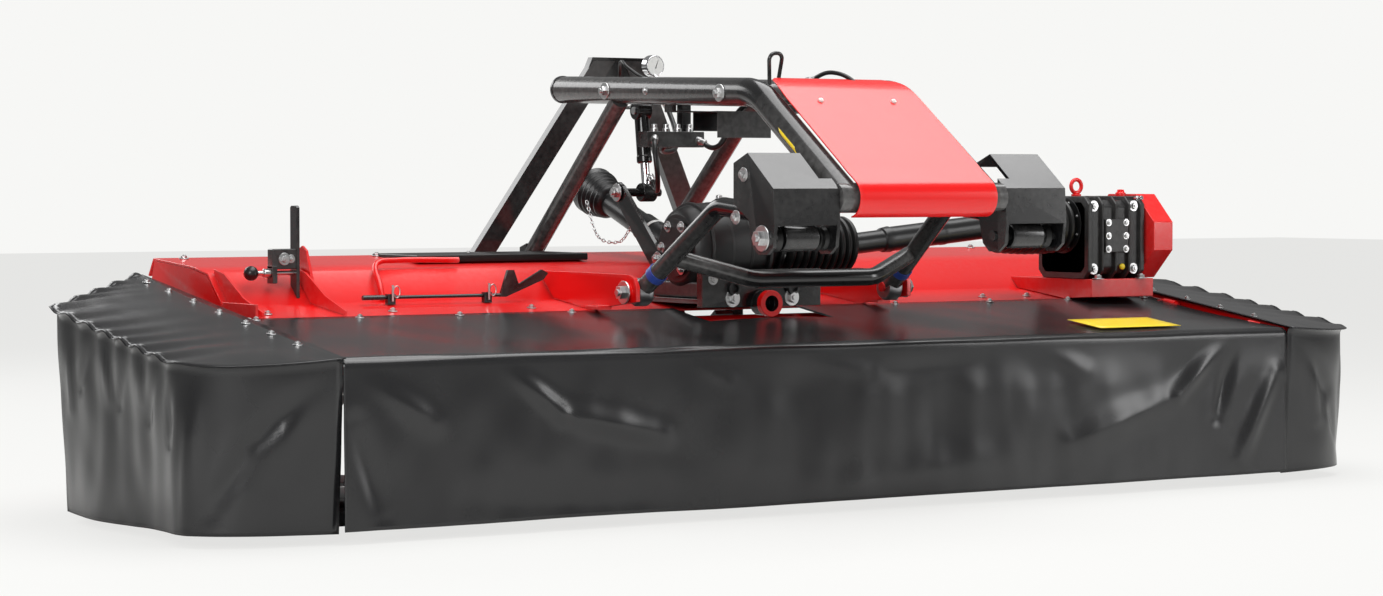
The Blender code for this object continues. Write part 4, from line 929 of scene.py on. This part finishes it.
def build_side_gearbox():
    low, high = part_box("side_gearbox")
    y0, y1 = low.y - FRONT_PLANE, high.y - FRONT_PLANE
    z0, z1 = low.z, 0.842
    x0, x1 = low.x, 1.425
    cut = 0.024
    outline = [(y0 + cut, z0), (y1 - cut, z0), (y1, z0 + cut), (y1, z1 - cut), (y1 - cut, z1), (y0 + cut, z1),
               (y0, z1 - cut), (y0, z0 + cut)]
    inner = [((y - (y0 + y1) / 2) * 0.90 + (y0 + y1) / 2, (z - (z0 + z1) / 2) * 0.90 + (z0 + z1) / 2)
             for y, z in outline]
    body = plate("side_housing", inner, "X", (x0 + x1) / 2, x1 - x0, 0.006)
    keep(body, "cast black", "machine", ["side_gearbox"])
    for number, x in enumerate((x0 + 0.008, x0 + 0.058, x0 + 0.110, x0 + 0.162, x1 - 0.008), start=1):
        thick = 0.016 if number in (1, 5) else 0.008
        keep(plate(f"side_rib_{number}", outline, "X", x, thick, 0.003), "cast black")
    keep(block("side_window", (x0 + 0.066, y0 - 0.004, 0.672), (x0 + 0.154, y0 + 0.020, 0.772), 0.003), "cast black")
    casting_ring("side_bearing", place(x0 + 0.002, SHAFT_Y, CROSS_OUT_Z), (-1, 0, 0), 0.086, 0.004, 8, 0.006)
    neck = turned("side_neck", [(0.0, 0.0), (0.0, 0.062), (0.0118, 0.062), (0.0118, 0.0)],
                  place(x1 - 0.0002, SHAFT_Y, CROSS_OUT_Z), (1, 0, 0))
    keep(neck, "cast black")
    table = []
    for x in (x0 + 0.076, x0 + 0.144):
        for z in (0.682, 0.722, 0.762):
            table.append((x, y0 - 0.004, z, (0, -1, 0), 0.012))
    for x in (x0 + 0.030, x0 + 0.186):
        for z in (0.622, 0.812):
            table.append((x, y0 + 0.012, z, (0, -1, 0), 0.018))
    bolts("side_box_bolts", table)
    plug = turned("side_plug", [(0.0, 0.0), (0.0, 0.009), (0.006, 0.009), (0.008, 0.006), (0.008, 0.0)],
                  place(x0 + 0.138, y0 + 0.010, 0.628), (0, -1, 0))
    keep(plug, "yellow plate")
    cap = turned("filler_cap", [(0.0, 0.0), (0.0, 0.016), (0.010, 0.016), (0.012, 0.012), (0.020, 0.010), (0.021, 0.0)],
                 place(x1 - 0.045, y0 + 0.060, 0.8415), (0, 0, 1))
    keep(cap, "red paint")
    fitting = turned("filler_fitting", [(0.0, 0.0), (0.0, 0.011), (0.012, 0.011), (0.014, 0.007), (0.026, 0.007),
                                        (0.027, 0.0)], place(x1 - 0.010, y0 + 0.030, 0.830), (0.2, -1.0, 0.3))
    keep(fitting, "chrome")
    eye = [place(1.255 + 0.020 * math.cos(math.radians(a)), SHAFT_Y, 0.872 + 0.020 * math.sin(math.radians(a)))
           for a in range(-90, 271, 12)]
    ring = tube("lifting_ring", eye, 0.006)
    keep(ring, "red paint", "machine", ["lifting_eye"])
    keep(turned("lifting_stem", [(0.0, 0.0), (0.0, 0.015), (0.006, 0.015), (0.008, 0.009), (0.010, 0.0)],
                place(1.255, SHAFT_Y, 0.8415), (0, 0, 1)), "red paint")
    low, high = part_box("belt_cover")
    table = []
    for y, z in ((0.560, 0.615), (0.680, 0.615), (0.495, 0.720), (0.745, 0.720), (0.560, 0.825), (0.680, 0.825)):
        table.append((high.x - 0.0005, y, z, (1, 0, 0), 0.013))
    bolts("belt_cover_bolts", table)
    bolts("side_base_bolts", [(1.232, 0.486, 0.5925, (0, 0, 1), 0.020), (1.400, 0.486, 0.5925, (0, 0, 1), 0.020)])


build_headstock()
build_head_hood()
build_arms()
build_drive()
build_centre_gearbox()
build_side_gearbox()


# ---------------------------------------------------------------- suspension, hydraulics and fittings
def build_hydraulics():
    top, eye = place(-0.105, 0.945, 1.092), place(-0.105, 0.915, 0.855)
    line = (top - eye).normalized()
    long = (top - eye).length
    keep(turned("lift_rod", [(0.0, 0.0), (0.0, 0.0125), (long, 0.0125), (long, 0.0)], eye, line), "chrome",
         "machine", ["lift_cylinder"])
    keep(turned("lift_barrel", [(0.085, 0.0), (0.085, 0.018), (0.089, 0.0225), (0.105, 0.0225), (0.107, 0.021),
                                (long - 0.014, 0.021), (long - 0.012, 0.024), (long, 0.024), (long, 0.0)],
                eye, line), "black paint")
    for name, spot in (("lift_eye_low", eye), ("lift_eye_high", top)):
        profile = [(-0.023, 0.0125), (-0.023, 0.025), (-0.020, 0.027), (0.020, 0.027), (0.023, 0.025), (0.023, 0.0125)]
        keep(turned(name, profile, spot, (1, 0, 0)), "black paint")
    keep(turned("lift_pin", [(0.0, 0.0), (0.0, 0.011), (0.056, 0.011), (0.058, 0.0)],
                top - Vector((0.028, 0, 0)), (1, 0, 0)), "zinc")
    hoses = [
        ("hose_feed", [(-0.150, 0.800, 1.010), (-0.175, 0.760, 0.985), (-0.165, 0.760, 0.900), (-0.120, 0.840, 0.860),
                       (-0.105, 0.895, 0.900)], 0.0075),
        ("hose_return", [(0.000, 0.800, 1.005), (0.020, 0.740, 0.985), (0.040, 0.690, 1.045), (0.030, 0.620, 1.095),
                         (0.060, 0.480, 1.140), (0.040, 0.300, 1.165)], 0.0075),
        ("hose_gauge", [(-0.080, 0.885, 1.178), (-0.120, 0.900, 1.185), (-0.155, 0.935, 1.215), (-0.150, 0.980, 1.235),
                        (-0.120, 1.040, 1.200), (-0.105, 1.060, 1.120), (-0.105, 0.975, 1.100)], 0.0050),
        ("hose_rear", [(-0.060, 0.850, 1.005), (-0.050, 0.920, 0.980), (0.060, 1.020, 0.985), (0.120, 1.120, 1.050),
                       (0.125, 1.175, 1.120)], 0.0075),
        ("hose_front", [(0.035, 0.290, 1.165), (0.050, 0.200, 1.185), (0.075, 0.120, 1.150), (0.080, 0.090, 1.110)],
         0.0060),
    ]
    for name, route, radius in hoses:
        keep(tube(name, [place(*point) for point in route], radius, smooth=True), "rubber")
        for number, (here, onward) in enumerate(((route[0], route[1]), (route[-1], route[-2])), start=1):
            start, way = place(*here), place(*onward) - place(*here)
            keep(turned(f"{name}_fitting_{number}", [(-0.004, 0.0), (-0.004, radius * 1.5), (0.008, radius * 1.5),
                                                     (0.009, radius * 1.25), (0.026, radius * 1.25), (0.027, 0.0)],
                        start, way, 24), "zinc")
    keep(turned("gauge_case", [(0.0, 0.0), (0.0, 0.029), (0.002, 0.0312), (0.024, 0.0312), (0.028, 0.030),
                               (0.030, 0.0285), (0.0275, 0.0270), (0.0275, 0.0)],
                place(-0.080, 0.935, 1.222), (0, -1, 0), 64), "chrome", "machine", ["pressure_gauge"])
    keep(turned("gauge_dial", [(0.0, 0.0), (0.0, 0.0268), (0.001, 0.0268), (0.001, 0.0)],
                place(-0.080, 0.9072, 1.222), (0, -1, 0), 48), "pale print")
    table = [((-0.0125, 0.0), (-0.0115, 0.018)), ((-0.001, -0.004), (0.001, 0.020))]
    needle = plate("gauge_needle", [(-0.0815, 1.214), (-0.0785, 1.214), (-0.070, 1.242)], "Y", 0.9055, 0.0006, 0.0001)
    keep(needle, "black paint")
    keep(tube("gauge_stem", [place(-0.080, 0.890, 1.176), place(-0.080, 0.918, 1.200)], 0.007), "zinc")
    for number, x in enumerate((-0.135, -0.095, -0.055, -0.015), start=1):
        keep(turned(f"valve_fitting_{number}", [(0.0, 0.0), (0.0, 0.011), (0.010, 0.011), (0.011, 0.008),
                                                (0.022, 0.008), (0.023, 0.0)],
                    place(x, 0.825, 1.0295), (0, 0, 1), 24), "zinc")
    bolts("lever_bolts", [(-0.203, 0.700, 0.668, (-1, 0, 0), 0.022), (-0.2065, 0.915, 0.855, (-1, 0, 0), 0.028)])


def build_latch():
    """The cover's latch: a flat post, a clamped plunger and its ball knob."""
    x = -1.245
    post = plate("latch_post", [(0.866, 0.571), (0.866, 0.816), (0.872, 0.822), (0.900, 0.822), (0.906, 0.816),
                                (0.906, 0.606)], "X", x, 0.010, 0.0015)
    keep(post, "black paint", "machine", ["cover_latch"])
    keep(block("latch_block", (x - 0.075, 0.868, 0.650), (x - 0.004, 0.902, 0.705), 0.003), "black paint")
    keep(block("latch_cheek", (x - 0.075, 0.866, 0.612), (x - 0.061, 0.904, 0.660), 0.002), "black paint")
    keep(tube("latch_plunger", [place(x - 0.128, 0.885, 0.640), place(x - 0.001, 0.885, 0.640)], 0.0065), "zinc")
    knob = [(-0.020 + 0.040 * i / 20, math.sqrt(max(0.0, 0.020 ** 2 - (-0.020 + 0.040 * i / 20) ** 2)))
            for i in range(21)]
    keep(turned("latch_knob", knob, place(x - 0.131, 0.885, 0.640), (-1, 0, 0)), "plastic")
    keep(turned("latch_collar", [(0.0, 0.0), (0.0, 0.012), (0.018, 0.012), (0.020, 0.010), (0.020, 0.0)],
                place(x - 0.076, 0.885, 0.640), (-1, 0, 0)), "zinc")
    bolts("latch_bolts", [(x - 0.040, 0.868, 0.678, (0, -1, 0), 0.018), (x - 0.020, 0.868, 0.678, (0, -1, 0), 0.012)])
    rods = [(-1.000, 0.012), (-0.700, 0.012)]
    for number, (px, wide) in enumerate(rods, start=1):
        ring = [place(px + wide + 0.010 * math.cos(math.radians(a)), 0.786, 0.586 + 0.016 * math.sin(math.radians(a)))
                for a in range(0, 361, 20)]
        keep(tube(f"tool_pin_ring_{number}", ring, 0.0016), "zinc")
        keep(tube(f"tool_pin_{number}", [place(px, 0.786, 0.560), place(px, 0.786, 0.605)], 0.0035), "zinc")


def build_hood_fittings():
    """Ribs, beads, bolts and the mat on the conditioner's hood."""
    low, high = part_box("conditioner_hood")
    for number, x in enumerate((-1.455, -1.215), start=1):
        gusset = plate(f"hood_gusset_{number}", [(0.640, 0.532), (0.850, 0.5575), (0.944, 0.6405), (0.944, 0.652),
                                                 (0.880, 0.640), (0.760, 0.580), (0.640, 0.545)], "X", x, 0.006)
        keep(gusset, "red paint")
    fold = [(-0.995, 0.856, 0.563), (-0.992, 0.880, 0.604), (-0.980, 0.930, 0.650), (-0.955, 0.952, 0.664),
            (-0.905, 0.962, 0.667), (-0.700, 0.964, 0.666)]
    keep(tube("hood_bead", [place(*point) for point in fold], 0.008, smooth=True), "red paint")
    mat = block("hood_mat", (-0.800, 1.020, 0.6585), (-0.240, 1.300, 0.6795), 0.004)
    keep(mat, "rubber")
    keep(block("hood_edge_left", (-1.478, 0.640, 0.5305), (-1.470, 0.845, 0.566), 0.001), "red paint")
    table = []
    for x in (-1.42, -1.05, -0.62, 0.30, 0.62, 0.95, 1.12):
        table.append((x, 0.690, 0.5382, (0, -0.12, 1), 0.014))
    for x in (-1.40, -1.10, -0.80, -0.50, 0.45, 0.75, 1.05, 1.35):
        table.append((x, 1.270, 0.6725, (0, -0.07, 1), 0.015))
    bolts("hood_bolts", table)
    table = []
    for sign in (-1, 1):
        for y in (0.180, 0.330, 0.480, 0.640, 0.800, 0.960, 1.110):
            x = 1.580
            table.append((sign * x, y, cover_level(x, y) + 0.001, (0, -0.14, 1), 0.013))
    bolts("cover_bolts_left", [row for row in table if row[0] < 0], "zinc", "side_cover_left")
    bolts("cover_bolts_right", [row for row in table if row[0] > 0], "zinc", "side_cover_right")
    table = []
    for x in (-1.50, -1.20, -0.90, -0.55, 0.55, 0.90, 1.20, 1.50):
        z = SKIRT["bend"][1] + (SKIRT["lip"][1] - SKIRT["bend"][1]) * (0.590 - 0.250) / (0.612 - 0.250)
        table.append((x, 0.590, z + 0.0015, (0, -0.12, 1), 0.013))
    bolts("front_skirt_bolts", table)


def build_plates():
    """Plain yellow plates on the skirt and the near tube."""
    skirt_z = SKIRT["edge"] + (SKIRT["bend"][1] - SKIRT["edge"]) * 0.150 / 0.250
    tilt = (SKIRT["bend"][1] - SKIRT["edge"]) / 0.250
    rows = []
    for j in range(5):
        y = 0.075 + 0.150 * j / 4
        rows.append([place(0.900 + 0.300 * i / 8, y, skirt_z + (y - 0.150) * tilt + 0.0065) for i in range(9)])
    keep(grid_sheet("plate_skirt", rows, 0.0012), "yellow plate")
    slope = (Vector((CROSS[0], CROSS[1])) - Vector(TUBE_KNEE)).normalized()
    rows = []
    for j in range(9):
        centre = Vector(TUBE_KNEE) + slope * (0.190 + 0.090 * j / 8)
        row = []
        for i in range(9):
            turn = math.radians(150 + 75 * i / 8)
            side = math.cos(turn) * (TUBE_R + 0.0012)
            rise = math.sin(turn) * (TUBE_R + 0.0012)
            row.append(place(-TUBE_X + side, centre.x - slope.y * 0.0 + rise * slope.y * -1, centre.y + rise * slope.x * -1))
        rows.append(row)
    keep(grid_sheet("plate_tube", rows, 0.0008), "yellow plate")


build_hydraulics()
build_latch()
build_hood_fittings()
build_plates()


# ---------------------------------------------------------------- stage
def build_stage():
    """A pale floor, a pale backdrop that only the camera sees, and soft lights."""
    world = bpy.data.worlds.new("Studio")
    bpy.context.scene.world = world
    world.use_nodes = True
    tree = world.node_tree
    sky = tree.nodes["Background"]
    sky.inputs["Color"].default_value = (0.80, 0.80, 0.80, 1)
    sky.inputs["Strength"].default_value = 0.30
    seen = add_node(tree, "ShaderNodeBackground")
    seen.inputs["Color"].default_value = (0.93, 0.93, 0.915, 1)
    path = add_node(tree, "ShaderNodeLightPath")
    either = add_node(tree, "ShaderNodeMix", data_type="FLOAT")
    mix = add_node(tree, "ShaderNodeMixShader")
    tree.links.new(path.outputs["Is Camera Ray"], mix.inputs["Fac"])
    tree.links.new(sky.outputs["Background"], mix.inputs[1])
    tree.links.new(seen.outputs["Background"], mix.inputs[2])
    tree.nodes.remove(either)
    tree.links.new(mix.outputs["Shader"], tree.nodes["World Output"].inputs["Surface"])

    floor_mesh = bpy.data.meshes.new("floor")
    floor_mesh.from_pydata([(-30, -30, 0), (30, -30, 0), (30, 30, 0), (-30, 30, 0)], [], [(0, 1, 2, 3)])
    floor = bpy.data.objects.new("floor", floor_mesh)
    bpy.context.scene.collection.objects.link(floor)
    pale = bpy.data.materials.new("Pale floor")
    pale.use_nodes = True
    tree = pale.node_tree
    shader = tree.nodes["Principled BSDF"]
    shader.inputs["Base Color"].default_value = (0.90, 0.90, 0.88, 1)
    shader.inputs["Roughness"].default_value = 0.6
    glow = add_node(tree, "ShaderNodeEmission")
    glow.inputs["Color"].default_value = (0.93, 0.93, 0.915, 1)
    path = add_node(tree, "ShaderNodeLightPath")
    weaker = add_node(tree, "ShaderNodeMath", operation="MULTIPLY")
    weaker.inputs[1].default_value = 0.80
    mix = add_node(tree, "ShaderNodeMixShader")
    tree.links.new(path.outputs["Is Camera Ray"], weaker.inputs[0])
    tree.links.new(weaker.outputs["Value"], mix.inputs["Fac"])
    tree.links.new(shader.outputs["BSDF"], mix.inputs[1])
    tree.links.new(glow.outputs["Emission"], mix.inputs[2])
    tree.links.new(mix.outputs["Shader"], tree.nodes["Material Output"].inputs["Surface"])
    floor_mesh.materials.append(pale)

    lamps = [
        # name, from, towards, width, height, watts
        ("top", (0.5, -0.5, 5.0), (0, 0, 0.4), 7.0, 4.0, 330),
        ("front left", (-6.0, -5.0, 2.6), (-0.6, -0.4, 0.4), 2.6, 2.2, 190),
        ("front right", (5.5, -5.5, 2.2), (0.8, -0.4, 0.4), 1.2, 3.2, 90),
        ("back", (-2.0, 6.0, 3.5), (0, 0.2, 0.6), 5.0, 2.0, 120),
    ]
    for name, start, target, wide, high, watts in lamps:
        light = bpy.data.lights.new(name, "AREA")
        light.shape = "RECTANGLE"
        light.size = wide
        light.size_y = high
        light.energy = watts
        lamp = bpy.data.objects.new(name, light)
        lamp.location = start
        lamp.rotation_euler = (Vector(target) - Vector(start)).to_track_quat("-Z", "Y").to_euler()
        bpy.context.scene.collection.objects.link(lamp)


def build_camera():
    lens = bpy.data.cameras.new("camera")
    lens.lens = 85.0
    lens.sensor_width = 36.0
    lens.clip_end = 100.0
    camera = bpy.data.objects.new("camera", lens)
    camera.location = place(-5.119, -7.133, 0.891)
    camera.rotation_euler = (math.radians(90 - 2.07), 0.0, math.radians(-32.71))
    bpy.context.scene.collection.objects.link(camera)
    bpy.context.scene.camera = camera
    bpy.context.scene.view_settings.view_transform = "Standard"


build_stage()
build_camera()
